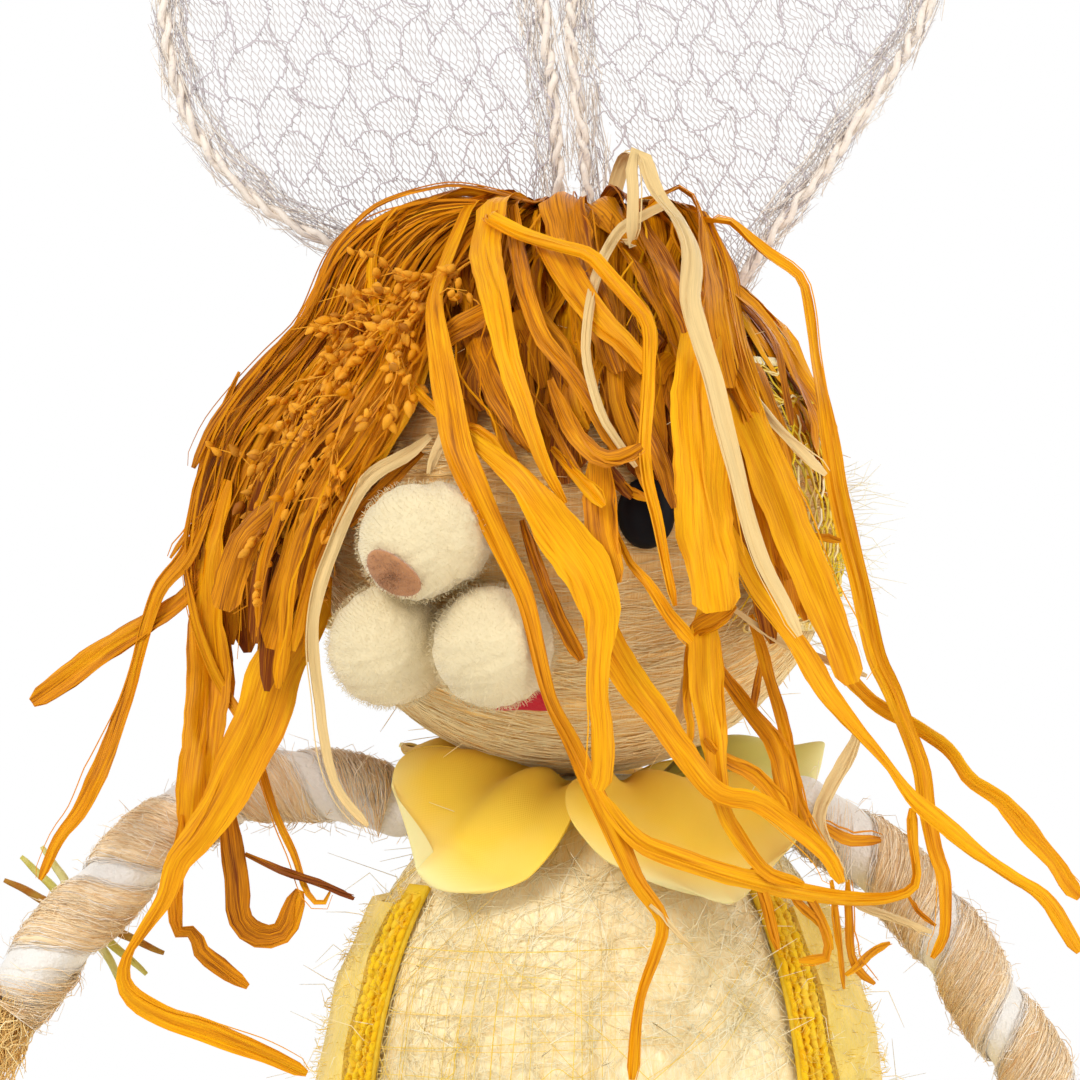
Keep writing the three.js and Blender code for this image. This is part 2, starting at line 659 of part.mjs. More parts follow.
// The least distance between points of a helix that lie over half a turn apart.
function leastGap(rings) {
  let least = Infinity;
  for (let i = 0; i < rings.length; i++) {
    for (let j = i + Math.round(WIND_STEPS * 0.6); j < rings.length; j++) {
      for (const p of rings[i]) for (const q of rings[j]) least = Math.min(least, p.distanceTo(q));
    }
  }
  return least;
}

// Frayed sisal at the end of an arm: strands fused to a slice that closes the arm.
function handTuft(end, along, spread, length) {
  const [near, far] = [GAP, 3].map((step) => end.clone().addScaledVector(along, step));
  const slice = rod(LIMB_R, near, far, 10);
  const sideways = at(0, 1, 0).cross(along).normalize();
  const parts = [slice];
  for (let i = 0; i < 8; i++) {
    const angle = (2 * Math.PI * i) / 8;
    const out = sideways
      .clone()
      .multiplyScalar(Math.cos(angle))
      .addScaledVector(at(0, 1, 0), Math.sin(angle));
    const base = end.clone().addScaledVector(along, 2).addScaledVector(out, LIMB_R * 0.6);
    const tip = base.clone().addScaledVector(along, length * (0.8 + 0.2 * Math.cos(3 * i)));
    tip.addScaledVector(out, spread);
    parts.push(rod(1.4, base, tip, 4));
  }
  return join(...parts);
}

// Points of a path at a distance back from its end or on from its start.
function part(curve, from, to) {
  const steps = 8;
  const share = (i) => (from + (to - from) * (i / steps)) / curve.getLength();
  const points = Array.from({ length: steps + 1 }, (_, i) => curve.getPointAt(share(i)));
  return new THREE.CatmullRomCurve3(points);
}

const armPaths = {
  left: [
    shoulders.left, at(-58, 0, 146.5), at(-72, 0, 148), at(-86, 0, 144), at(-98, -1, 135.6),
    at(-109, -2, 124.6), at(-120, -3, 112.5), at(-131, -4, 98.5),
  ],
  right: [
    shoulders.right, at(52, 0, 137.5), at(61, 0, 130.8), at(70, 0, 122), at(78.5, -1, 111.4),
    at(87, -2, 98.2), at(95.7, -3, 85), at(104, -4, 71),
  ],
};
const ELBOW_POINT = 4; // the place of the elbow in each list above

function addArm(side) {
  const reference = at(0, 1, 0);
  const upperLine = new THREE.CatmullRomCurve3(armPaths[side].slice(0, ELBOW_POINT + 1));
  const fore = new THREE.CatmullRomCurve3(armPaths[side].slice(ELBOW_POINT));
  const upper = part(upperLine, 0, upperLine.getLength() - LIMB_R - GAP);
  add("upper_arm_" + side, limbCore(upper, reference), "foam");
  add("upper_arm_wire_" + side, limbWire(upper, WIRE_R, reference, 0), "wire");
  add("forearm_" + side, limbCore(fore, reference), "foam");
  add("forearm_wire_" + side, limbWire(fore, WIRE_R, reference, 0), "wire");
  const upperStop = upper.getLength() - ELBOW_ROOM + LIMB_R;
  const upperBand = winding("upper arm " + side, upper, BAND_START, upperStop, reference, 0);
  add("upper_arm_band_" + side, upperBand, "sisal");
  const foreBand = winding("forearm " + side, fore, ELBOW_ROOM, fore.getLength(), reference, TIE_AT);
  add("forearm_band_" + side, foreBand, "sisal");
  add("hand_tuft_" + side, handTuft(fore.getPointAt(1), fore.getTangentAt(1), 6, 20), "sisal");
  return fore;
}

// Dried stems held behind the left forearm by a raffia tie
function addPosy(fore) {
  const behind = LIMB_R + BAND_T + 2 * GAP + TIE_HALF[1];
  const tie = fore.getPointAt(TIE_AT / fore.getLength()).add(at(0, behind, 0));
  const stems = [[-14, 13, 1.2], [-9, 16, -1], [-18, 8, 0.2]].map(([dx, dz, dy]) =>
    rod(1.1, tie.clone().add(at(dx, dy, dz)), tie.clone().add(at(-dx, -dy, -dz)), 5),
  );
  const knot = ellipsoid(...TIE_HALF, 8, 6).translate(...tie);
  add("posy_stems", join(knot, ...stems), "stem");
}

function addLeg(side, name) {
  const reference = at(0, 0, 1);
  const out = bearing(side * LEG_YAW);
  const bend = bearing(side * LEG_SPLAY);
  const hip = out.clone().multiplyScalar(LEG_FROM).setZ(LEG_Z);
  const line = new THREE.LineCurve3(hip, hip.clone().addScaledVector(bend, LEG_TO - LEG_FROM));
  const footAt = hip
    .clone()
    .addScaledVector(bend, LEG_TO - LEG_FROM)
    .setZ(FOOT_HALF[2] + GAP);
  const foot = (grow) =>
    ellipsoid(FOOT_HALF[0] + grow, FOOT_HALF[1] + grow, FOOT_HALF[2] + grow, 16, 10)
      .rotateZ(radians(side * LEG_SPLAY))
      .translate(...footAt);
  const rings = (radius) => loft(tubeRings(line, 1, () => radius, 8, reference));
  add("leg_" + name, cut(rings(LIMB_R), rings(WIRE_R + GAP), torsoBody(-LAY), foot(GAP)), "foam");
  const wireStart = hip.clone().addScaledVector(bend, 14);
  const wireStop = footAt.clone().setZ(LEG_Z).addScaledVector(bend, -12);
  const wireLine = new THREE.LineCurve3(wireStart, wireStop);
  add("leg_wire_" + name, loft(tubeRings(wireLine, 1, () => WIRE_R, 6, reference)), "wire");
  add("leg_band_" + name, winding("leg " + name, line, 17, line.getLength() - 12, reference, 17), "sisal");
  add("foot_" + name, foot(0), "sisal");
  const window = new THREE.CylinderGeometry(1, 1, 4 * FOOT_HALF[1], 12)
    .scale(SOLE_HALF[0], 1, SOLE_HALF[1])
    .translate(0, -2 * FOOT_HALF[1], 0)
    .rotateZ(radians(side * LEG_SPLAY))
    .translate(...footAt);
  add("sole_pad_" + name, cut(common(foot(GAP + FELT_T), window), foot(GAP)), "yellowFelt");
}

function addTail() {
  const reach = torsoR(TAIL_Z) + TAIL_R;
  add("tail", ellipsoid(TAIL_R, TAIL_R, TAIL_R), "cotton", at(0, reach, TAIL_Z));
}

// Ears

// Middle lines of the two hoops as x and z pairs, from the outer root round the tip to the inner root.
const hoops = {
  left: [
    [-26, 0], [-43, 262], [-60, 268.5], [-78, 279], [-92, 296], [-98, 320], [-96, 346], [-87, 373],
    [-70, 397], [-50, 410], [-33, 398], [-21, 373], [-15, 346], [-12.5, 320], [-9.5, 290], [-8.5, 0],
  ],
  right: [
    [22, 0], [30.5, 258], [38.5, 270], [50.6, 285], [63, 303], [73.7, 321], [80, 344], [78, 370], [66, 394],
    [46, 407], [26, 396], [9, 373], [-2, 348], [-6.5, 320], [-3.5, 290], [-0.5, 0],
  ],
};

// A root stands on the head's cover, at the hoop's own radius above it.
function rootHeight(x) {
  const flat = ((x - HEAD_X) ** 2 + EAR_Y ** 2) / HEAD_R ** 2;
  return HEAD_Z + HEAD_RISE * Math.sqrt(1 - flat) + GAP;
}

function hoopLine(side) {
  const last = hoops[side].length - 1;
  return hoops[side].map(([x, z], i) => at(x, EAR_Y, i === 0 || i === last ? rootHeight(x) : z));
}

function insideOutline(point, outline) {
  let inside = false;
  outline.forEach((a, i) => {
    const b = outline[(i + 1) % outline.length];
    const crosses = a.y > point.y !== b.y > point.y;
    if (crosses && point.x < ((b.x - a.x) * (point.y - a.y)) / (b.y - a.y) + a.x) inside = !inside;
  });
  return inside;
}

// The net's outline: the hoop's middle line moved inwards, in the plane of the ear.
function netOutline(curve, inset) {
  const centre = new THREE.Vector2();
  const flat = curve.getSpacedPoints(HOOP_STEPS).map((p) => new THREE.Vector2(p.x, p.z));
  flat.forEach((p) => centre.addScaledVector(p, 1 / flat.length));
  return flat.map((p, i) => {
    const before = flat[Math.max(0, i - 1)];
    const after = flat[Math.min(flat.length - 1, i + 1)];
    const normal = new THREE.Vector2(after.y - before.y, before.x - after.x).normalize();
    if (normal.dot(centre.clone().sub(p)) < 0) normal.negate();
    return p.clone().addScaledVector(normal, inset);
  });
}

// A flat net: an outline with hexagonal gaps on a staggered grid, each wholly inside it.
function earNet(outline) {
  const shape = new THREE.Shape(outline);
  const box = new THREE.Box2().setFromPoints(outline);
  const radius = NET_CELL - NET_THREAD / Math.sqrt(3);
  const rowStep = NET_CELL * 1.5;
  const columnStep = NET_CELL * Math.sqrt(3);
  for (let row = 0; row * rowStep < box.max.y - box.min.y; row++) {
    for (let column = 0; column * columnStep < box.max.x - box.min.x + columnStep; column++) {
      const centre = new THREE.Vector2(
        box.min.x + columnStep * (column + (row % 2) / 2),
        box.min.y + rowStep * (row + 0.6),
      );
      const corners = (size) =>
        [30, 90, 150, 210, 270, 330].map((degrees) =>
          centre.clone().add(new THREE.Vector2(size, 0).rotateAround(new THREE.Vector2(), radians(degrees))),
        );
      if (corners(radius + 1).every((corner) => insideOutline(corner, outline))) {
        shape.holes.push(new THREE.Path(corners(radius)));
      }
    }
  }
  const plate = new THREE.ExtrudeGeometry(shape, { depth: NET_T, bevelEnabled: false });
  return plate.rotateX(Math.PI / 2).translate(0, EAR_Y + NET_T / 2, 0);
}

function addEar(side) {
  const points = hoopLine(side);
  const curve = new THREE.CatmullRomCurve3(points, false, "centripetal");
  const reference = at(0, 1, 0);
  const ball = (point) => ellipsoid(HOOP_R, HOOP_R, HOOP_R, 8, 4).translate(...point);
  const tube = loft(tubeRings(curve, HOOP_STEPS, () => HOOP_R, 6, reference));
  add("ear_hoop_" + side, join(tube, ball(points[0]), ball(points.at(-1))), "cord");
  add("ear_net_" + side, earNet(netOutline(curve, HOOP_R + 2 * GAP)), "net");
  return [points[0], points.at(-1)];
}

addTorso();
const earRoots = [...addEar("left"), ...addEar("right")];
addHead(earRoots);
addFace();
addMop();
addSprig();
addRibbonWrap();
addCollar();
addVest();
const leftForearm = addArm("left");
addArm("right");
addPosy(leftForearm);
addLeg(-1, "left");
addLeg(1, "right");
addTail();

export default figure;
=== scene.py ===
"""Looks of a seated rabbit figure of sisal, raffia, felt and net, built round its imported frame.

Shapes are worked out in millimetres as numpy arrays, +Z up and the face towards -Y, and scaled to metres
when a mesh is made. A bearing is an angle on the floor plan from the front, positive towards +X.
"""
import math

import bpy
import numpy as np
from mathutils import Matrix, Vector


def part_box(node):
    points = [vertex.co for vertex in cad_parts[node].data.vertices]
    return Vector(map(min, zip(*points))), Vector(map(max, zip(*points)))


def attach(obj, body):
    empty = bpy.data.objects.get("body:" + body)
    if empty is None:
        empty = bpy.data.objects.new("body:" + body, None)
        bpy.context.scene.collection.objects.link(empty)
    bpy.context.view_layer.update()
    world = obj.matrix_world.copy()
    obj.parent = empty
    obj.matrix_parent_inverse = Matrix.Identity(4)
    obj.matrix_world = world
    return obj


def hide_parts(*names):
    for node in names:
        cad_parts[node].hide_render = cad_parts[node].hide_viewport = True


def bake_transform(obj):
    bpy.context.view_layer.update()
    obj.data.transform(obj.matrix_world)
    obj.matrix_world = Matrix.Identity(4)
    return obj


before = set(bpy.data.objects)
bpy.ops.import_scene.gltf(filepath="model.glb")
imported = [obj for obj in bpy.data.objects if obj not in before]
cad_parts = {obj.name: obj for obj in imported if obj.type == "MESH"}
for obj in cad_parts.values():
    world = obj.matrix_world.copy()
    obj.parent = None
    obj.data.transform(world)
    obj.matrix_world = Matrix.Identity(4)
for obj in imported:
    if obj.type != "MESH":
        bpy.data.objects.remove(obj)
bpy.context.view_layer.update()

bl_info = {
    "name": "Sisal rabbit figure",
    "version": (1, 0),
    "blender": (4, 5, 0),
    "location": "3D View > Sidebar > Rabbit",
    "description": "Builds the sisal rabbit figure round its frame",
    "category": "Object",
}

MM = 0.001
TURN = 2 * math.pi


def tint(code):
    """A colour from its six-digit screen code, as linear values."""
    level = np.array([int(code[i:i + 2], 16) for i in (0, 2, 4)]) / 255
    linear = np.where(level <= 0.04045, level / 12.92, ((level + 0.055) / 1.055) ** 2.4)
    return tuple(float(v) for v in linear)


def colour(name, description, code):
    """A colour property with its default."""
    return bpy.props.FloatVectorProperty(
        name=name, description=description, subtype="COLOR", size=3, min=0, max=1, default=tint(code)
    )


def length(name, description, default):
    """A size property in millimetres."""
    return bpy.props.FloatProperty(name=name + " (mm)", description=description, default=default, min=0.01)


class RabbitColours(bpy.types.PropertyGroup):
    """Colours of the finishes."""

    sisal_dark: colour("Sisal, dark", "Shaded fibres of the tan sisal", "EEB25C")
    sisal_mid: colour("Sisal, middle", "Most fibres of the tan sisal", "FFD688")
    # The light sisal also gives painted light on the head: its sheen bands and its lighter underside.
    sisal_light: colour("Sisal, light", "Bleached fibres of the tan sisal", "FFEBB8")
    cream_dark: colour("Cream sisal, dark", "Shaded fibres of the cream sisal", "FFD898")
    cream_mid: colour("Cream sisal, middle", "Most fibres of the cream sisal", "FFEAB4")
    cream_light: colour("Cream sisal, light", "Bleached fibres of the cream sisal", "FFF8DA")
    silk_dark: colour("Band, dark", "Shaded fibres of the limbs' bands", "E8B472")
    silk_mid: colour("Band, middle", "Most fibres of the limbs' bands", "FFE4B6")
    silk_light: colour("Band, light", "Bleached fibres of the limbs' bands", "FFF8F0")
    netting: colour("Torso netting", "Dyed threads laid over the torso", "F7D447")
    # The dark raffia is also painted shade, on the lowest strips under the left lock and the fringe.
    raffia_dark: colour("Raffia, dark", "Folds of the dyed raffia", "783600")
    raffia_mid: colour("Raffia, middle", "Most of the dyed raffia", "DA8800")
    raffia_light: colour("Raffia, light", "Brightest of the dyed raffia", "F4B004")
    raffia_plain: colour("Raffia, undyed", "The few undyed strands", "F2D090")
    millet_dark: colour("Millet, dark", "Husks in the sprig", "A05A10")
    millet_light: colour("Millet, light", "Bright seeds of the sprig", "F0A52A")
    cotton: colour("Cotton felt", "Pompoms of the muzzle and tail", "E8D6AC")
    nose: colour("Nose felt", "Felt oval on the nose", "BE8454")
    tongue: colour("Tongue felt", "Felt of the tongue", "C8102C")
    petal_warm: colour("Petal, warm", "Petals near the neck", "FFD23C")
    petal_pale: colour("Petal, pale", "Petals at their outer edge", "F2E4A0")
    petal_olive: colour("Petal, olive", "The petals at the sides and back", "C8BC58")
    felt_yellow: colour("Vest felt", "Felt of the vest and soles", "FBDA66")
    braid: colour("Vest braid", "Braided edges of the vest", "F6CC20")
    wadding: colour("Wadding", "White core of the limbs", "F1ECE4")
    ear_cord: colour("Ear cord", "Cord round the ear hoops", "F0E4D6")
    ear_net: colour("Ear net", "Fine threads of the ear net", "C8C2BF")
    ear_web: colour("Ear web", "Coarse threads of the ear net", "BFB6B9")


class RabbitSizes(bpy.types.PropertyGroup):
    """Sizes of the fine pieces."""

    fibre: length("Sisal fibre radius", "Radius of one sisal fibre", 0.13)
    thread: length("Net thread radius", "Radius of a thread of the ear net", 0.15)
    net_cell: length("Net cell", "Width of a cell of the ear net", 1.35)
    raffia: length("Raffia thickness", "Thickness of a raffia strip", 0.24)
    cord_ply: length("Cord ply radius", "Radius of each ply of the ear cord", 0.8)
    seed: length("Seed radius", "Radius of a millet seed", 0.92)
    petal: length("Petal thickness", "Thickness of the petals' cloth", 0.5)


def sizes():
    return bpy.context.scene.rabbit_sizes


def colours():
    return bpy.context.scene.rabbit_colours


# Shape of the figure, as in its frame
HEAD_R, HEAD_RISE = 58.0, 55.0
_head_low, _head_high = (np.array(corner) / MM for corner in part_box("head_cover"))
HEAD_AT = np.array([(_head_low[0] + _head_high[0]) / 2, 0, _head_high[2] - HEAD_RISE])
TORSO_TOP, BELLY_R, BELLY_Z, SEAT_R, SEAT_TOP = 150.0, 61.0, 55.0, 42.0, 2.3
SHOULDER_POWER, HIP_POWER = 2.3, 2.2
FACE_YAW = 27.1
EAR_Y = 18.0
BACKWARD = np.array([0.0, 1.0, 0.0])

# Middle lines of the arms, from the shoulder past the elbow to the wrist
ARM_ROUTES = {
    "left": [
        (-43.6, 0, 142.8), (-58, 0, 146.5), (-72, 0, 148), (-86, 0, 144), (-98, -1, 135.6),
        (-109, -2, 124.6), (-120, -3, 112.5), (-131, -4, 98.5),
    ],
    "right": [
        (43.6, 0, 142.8), (52, 0, 137.5), (61, 0, 130.8), (70, 0, 122), (78.5, -1, 111.4),
        (87, -2, 98.2), (95.7, -3, 85), (104, -4, 71),
    ],
}
ELBOW_POINT = 4

# Middle lines of the ear hoops as x and z, from the outer root round the tip to the inner root
HOOP_ROUTES = {
    "left": [
        (-26, 0), (-43, 262), (-60, 268.5), (-78, 279), (-92, 296), (-98, 320), (-96, 346), (-87, 373),
        (-70, 397), (-50, 410), (-33, 398), (-21, 373), (-15, 346), (-12.5, 320), (-9.5, 290), (-8.5, 0),
    ],
    "right": [
        (22, 0), (30.5, 258), (38.5, 270), (50.6, 285), (63, 303), (73.7, 321), (80, 344), (78, 370),
        (66, 394), (46, 407), (26, 396), (9, 373), (-2, 348), (-6.5, 320), (-3.5, 290), (-0.5, 0),
    ],
}


# Numbers and curves


def unit(vectors):
    """Vectors divided by their lengths."""
    return vectors / np.maximum(np.linalg.norm(vectors, axis=-1, keepdims=True), 1e-9)


def bearing(degrees):
    """Unit vectors on the floor plan at angles from the front, positive towards +X."""
    a = np.radians(np.asarray(degrees, float))
    return np.stack([np.sin(a), -np.cos(a), np.zeros_like(a)], -1)


def upright(z):
    """Vectors along Z of the given heights."""
    z = np.asarray(z, float)
    return np.stack([np.zeros_like(z), np.zeros_like(z), z], -1)


def torso_r(z):
    """Radius of the torso at a height: one superellipse arc above the belly and one below it."""
    up = np.clip((z - BELLY_Z) / (TORSO_TOP - BELLY_Z), 0, 1)
    down = np.clip((BELLY_Z - z) / (BELLY_Z - SEAT_TOP), 0, 1)
    above = BELLY_R * (1 - up ** SHOULDER_POWER) ** (1 / SHOULDER_POWER)
    below = SEAT_R + (BELLY_R - SEAT_R) * (1 - down ** HIP_POWER) ** (1 / HIP_POWER)
    return np.where(z >= BELLY_Z, above, below)


def over_head(degrees, polar, lift):
    """Points over the head: its ellipsoid grown by lift, at a bearing and an angle from the top."""
    p = np.radians(np.asarray(polar, float))
    out = bearing(degrees) * ((HEAD_R + lift) * np.sin(p))[..., None]
    return HEAD_AT + out + upright((HEAD_RISE + lift) * np.cos(p))


def beside_head(degrees, rise, clear):
    """Points round the head: its ellipsoid grown by clear, at a bearing and a height off its centre."""
    reach = (HEAD_R + clear) * np.sqrt(np.clip(1 - (rise / (HEAD_RISE + clear)) ** 2, 0, 1))
    return HEAD_AT + bearing(degrees) * np.asarray(reach)[..., None] + upright(rise)


def spline(points, samples):
    """A centripetal Catmull-Rom curve through points, sampled evenly along its length."""
    p = np.asarray(points, float)
    p = np.vstack([2 * p[0] - p[1], p, 2 * p[-1] - p[-2]])
    gaps = np.maximum(np.linalg.norm(np.diff(p[:, :3], axis=0), axis=1) ** 0.5, 1e-3)
    t = np.linspace(0, 1, 16, endpoint=False)[:, None]
    fine = []
    for i in range(1, len(p) - 2):
        before, here, after = gaps[i - 1:i + 2]
        step = p[i + 1] - p[i]
        start = ((p[i] - p[i - 1]) / before - (p[i + 1] - p[i - 1]) / (before + here) + step / here) * here
        stop = (step / here - (p[i + 2] - p[i]) / (here + after) + (p[i + 2] - p[i + 1]) / after) * here
        cubic, square = start + stop - 2 * step, 3 * step - 2 * start - stop
        fine.append(cubic * t ** 3 + square * t ** 2 + start * t + p[i])
    fine = np.vstack([*fine, p[-2:-1]])
    run = np.concatenate([[0], np.cumsum(np.linalg.norm(np.diff(fine[:, :3], axis=0), axis=1))])
    want = np.linspace(0, run[-1], samples)
    return np.stack([np.interp(want, run, fine[:, k]) for k in range(fine.shape[1])], -1)


def run_length(path):
    """Distance along a path at each of its points."""
    steps = np.linalg.norm(np.diff(path, axis=-2), axis=-1)
    return np.concatenate([np.zeros_like(steps[..., :1]), np.cumsum(steps, axis=-1)], -1)


def frames(paths, reference):
    """Unit directions along paths, along the part of reference square to them, and square to both."""
    along = unit(np.gradient(paths, axis=-2))
    normal = unit(reference - (reference * along).sum(-1, keepdims=True) * along)
    return along, normal, np.cross(along, normal)


def wander(rng, count, steps, turns=(0.6, 2.2)):
    """Smooth offsets along paths, count x steps, near -1 to 1: three sine waves with random phases."""
    t = np.linspace(0, 1, steps)
    total = np.zeros((count, steps))
    for strength in (0.6, 0.3, 0.2):
        rate = rng.uniform(*turns, (count, 1)) / strength * 0.6
        total += strength * np.sin(TURN * (rate * t + rng.random((count, 1))))
    return total


def ripple(u, v, rng, waves, low, high):
    """A smooth random height over a surface, near -1 to 1: a sum of plane waves of random direction."""
    total = np.zeros(np.broadcast(u, v).shape)
    for _ in range(waves):
        angle, rate = rng.uniform(0, TURN), rng.uniform(low, high)
        total += np.sin(TURN * rate * (u * math.cos(angle) + v * math.sin(angle)) + rng.uniform(0, TURN))
    return total / math.sqrt(waves)


# Meshes


def grid_faces(rows, columns, wrap):
    """Quads over a grid of points numbered row by row; wrap joins the last column to the first."""
    r = np.arange(rows - 1)[:, None]
    c = np.arange(columns if wrap else columns - 1)[None, :]
    n = (c + 1) % columns
    quads = [r * columns + c, r * columns + n, (r + 1) * columns + n, (r + 1) * columns + c]
    return np.stack(quads, -1).reshape(-1, 4)


def tubes(rings):
    """Closed tubes from rings, tubes x rings x points x 3: walls between rings and a face over each end."""
    count, steps, around, _ = rings.shape
    base = (np.arange(count) * steps * around)[:, None, None]
    walls = (grid_faces(steps, around, True)[None] + base).reshape(-1, 4)
    first = base[:, 0] + np.arange(around)[::-1]
    last = base[:, 0] + (steps - 1) * around + np.arange(around)
    return rings.reshape(-1, 3), [walls, np.concatenate([first, last])]


def wrapped_uv(u, v):
    """Corner coordinates of one tube and its ends: u round it, one more than its points, and v along it."""
    rows, columns = len(v), len(u) - 1
    r, c = np.meshgrid(np.arange(rows - 1), np.arange(columns), indexing="ij")
    corners = [(r, c), (r, c + 1), (r + 1, c + 1), (r + 1, c)]
    walls = np.stack([np.stack([u[j], v[i]], -1) for i, j in corners], 2).reshape(-1, 4, 2)
    caps = np.zeros((2, columns, 2))
    caps[:, :, 0] = u[:-1]
    caps[0, :, 1], caps[-1, :, 1] = v[0], v[-1]
    return [walls, caps]


def piece(name, shape, surface, body="root", uv=None, tone=None, stands_for=(), blend=None,
          smooth=True, crisp=False):
    """A mesh object at the origin, with its finish, that rides on a body, or is left unparented where blend
    is given.

    shape is points in millimetres and a list of face arrays. uv is a pair for each point or each corner.
    tone is one number for each point. A crisp sheet keeps its rims."""
    points, faces = shape
    mesh = bpy.data.meshes.new(name)
    corners = np.concatenate([f.ravel() for f in faces]).astype(np.int32)
    counts = np.concatenate([np.full(len(f), f.shape[1]) for f in faces])
    mesh.vertices.add(len(points))
    mesh.vertices.foreach_set("co", (points * MM).astype(np.float32).ravel())
    mesh.loops.add(len(corners))
    mesh.loops.foreach_set("vertex_index", corners)
    mesh.polygons.add(len(counts))
    mesh.polygons.foreach_set("loop_start", (np.cumsum(counts) - counts).astype(np.int32))
    mesh.polygons.foreach_set("use_smooth", np.full(len(counts), smooth))
    mesh.update(calc_edges=True)
    if crisp:
        mesh.set_sharp_from_angle(angle=0.9)
    if uv is not None:
        pairs = np.concatenate([w.reshape(-1, 2) for w in uv]) if isinstance(uv, list) else uv[corners]
        mesh.uv_layers.new(name="UVMap").data.foreach_set("uv", pairs.astype(np.float32).ravel())
    if tone is not None:
        layer = mesh.attributes.new("tone", "FLOAT", "POINT")
        layer.data.foreach_set("value", np.asarray(tone, np.float32).ravel())
    made = bpy.data.objects.new(name, mesh)
    bpy.context.scene.collection.objects.link(made)
    made.data.materials.append(finish(surface))
    if stands_for:
        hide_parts(*stands_for)
    if blend:
        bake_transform(made)
    else:
        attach(made, body)
    return made


def joined(*shapes):
    """Several shapes as one, with their faces renumbered."""
    points, faces, start = [], [], 0
    for p, f in shapes:
        points.append(p)
        faces.extend(face + start for face in f)
        start += len(p)
    return np.concatenate(points), faces


def round_tubes(paths, reference, reach, sides):
    """Tubes of so many sides along paths. reach is their radius, or one for each tube, step and side."""
    _, normal, side = frames(paths, reference)
    angle = TURN * np.arange(sides) / sides
    spokes = normal[:, :, None] * np.cos(angle)[:, None] + side[:, :, None] * np.sin(angle)[:, None]
    return tubes(paths[:, :, None] + spokes * reach)


def fibres(paths, radius, sides=3):
    """Thin tubes along paths, tubes x steps x 3, thinner towards both ends."""
    chord = paths[:, -1] - paths[:, 0]
    reference = np.eye(3)[np.abs(chord).argmin(-1)][:, None, :]
    taper = 0.25 + 0.75 * np.sin(np.pi * np.linspace(0.02, 0.98, paths.shape[1])) ** 0.5
    reach = np.asarray(radius, float).reshape(-1, 1) * taper
    return round_tubes(paths, reference, reach[:, :, None, None], sides)


def each(values, shape):
    """One value for each of the like tubes of a shape, repeated over the points of each."""
    return np.repeat(values, len(shape[0]) // len(values))


def mottled(rng, middle, sway, count):
    """Random tones about a middle one, held between 0 and 1."""
    return np.clip(rng.normal(middle, sway, count), 0, 1)


def ball(centre, halves, rows=32, columns=48, bump=None):
    """An ellipsoid as rings from the bottom to the top, with bump(direction) added to its radius."""
    polar = np.linspace(0.02, math.pi - 0.02, rows)[:, None]
    turn = (TURN * np.arange(columns) / columns)[None]
    d = np.stack([
        np.sin(polar) * np.cos(turn), np.sin(polar) * np.sin(turn), -np.cos(polar) * np.ones_like(turn)
    ], -1)
    grow = 0 if bump is None else bump(d)[..., None]
    return tubes((np.asarray(centre) + d * (np.asarray(halves) + grow))[None])


def on_sphere(turn, level):
    """Unit vectors at a turn round Z and a height from -1 to 1."""
    ring = np.sqrt(1 - level ** 2)
    return np.stack([ring * np.cos(turn), ring * np.sin(turn), level], -1)


def stood(points, degrees, centre):
    """Points turned round Z by an angle and moved to a centre."""
    a = math.radians(degrees)
    turned = np.array([[math.cos(a), -math.sin(a), 0], [math.sin(a), math.cos(a), 0], [0, 0, 1]])
    return points @ turned.T + centre


def sphere_spread(count):
    """Directions spread evenly over a sphere: a spiral with the golden angle between steps."""
    i = np.arange(count) + 0.5
    return on_sphere(math.pi * (1 + math.sqrt(5)) * i, 1 - 2 * i / count)


def fuzz(rng, roots, normals, reach, radius, lean=0.6):
    """Short hairs: each leaves its root along the normal and leans over by a random amount."""
    count = len(roots)
    side = unit(np.cross(normals, unit(rng.normal(size=(count, 3)))))
    tall = reach * rng.uniform(0.5, 1.2, (count, 1))
    tips = roots + normals * tall + side * tall * rng.uniform(0, lean, (count, 1)) * 2
    middle = roots + normals * tall * 0.62 + side * tall * 0.2
    return fibres(np.stack([roots - normals * 0.3, middle, tips], 1), radius)


# Shader node groups and materials


def fill(tree, made, inputs):
    """Gives a node's inputs their values or links. A colour of three numbers gets its alpha."""
    for key, value in inputs.items():
        if isinstance(value, bpy.types.NodeSocket):
            tree.links.new(value, made.inputs[key])
        else:
            made.inputs[key].default_value = (*value, 1)[:4] if isinstance(value, tuple) else value


def node(tree, kind, inputs=None, **settings):
    """Adds a node, with its settings and with values or links for its inputs."""
    made = tree.nodes.new("ShaderNode" + kind)
    for name, value in settings.items():
        setattr(made, name, value)
    fill(tree, made, inputs or {})
    return made


def maths(tree, operation, first, second=0.0, third=0.0):
    """The output of a Math node."""
    return node(tree, "Math", {0: first, 1: second, 2: third}, operation=operation).outputs[0]


def blended(tree, factor, first, second):
    """The colour output of a Mix node."""
    return node(tree, "Mix", {0: factor, 6: first, 7: second}, data_type="RGBA").outputs[2]


def noise(tree, place, scale, **more):
    """The output of a Noise Texture node of a scale, with its other inputs by name."""
    return node(tree, "TexNoise", {"Vector": place, "Scale": scale, **more}).outputs["Fac"]


def spread(tree, value, low, high):
    """The value mapped from low..high to 0..1 and held there."""
    return node(tree, "MapRange", {0: value, 1: low, 2: high}).outputs[0]


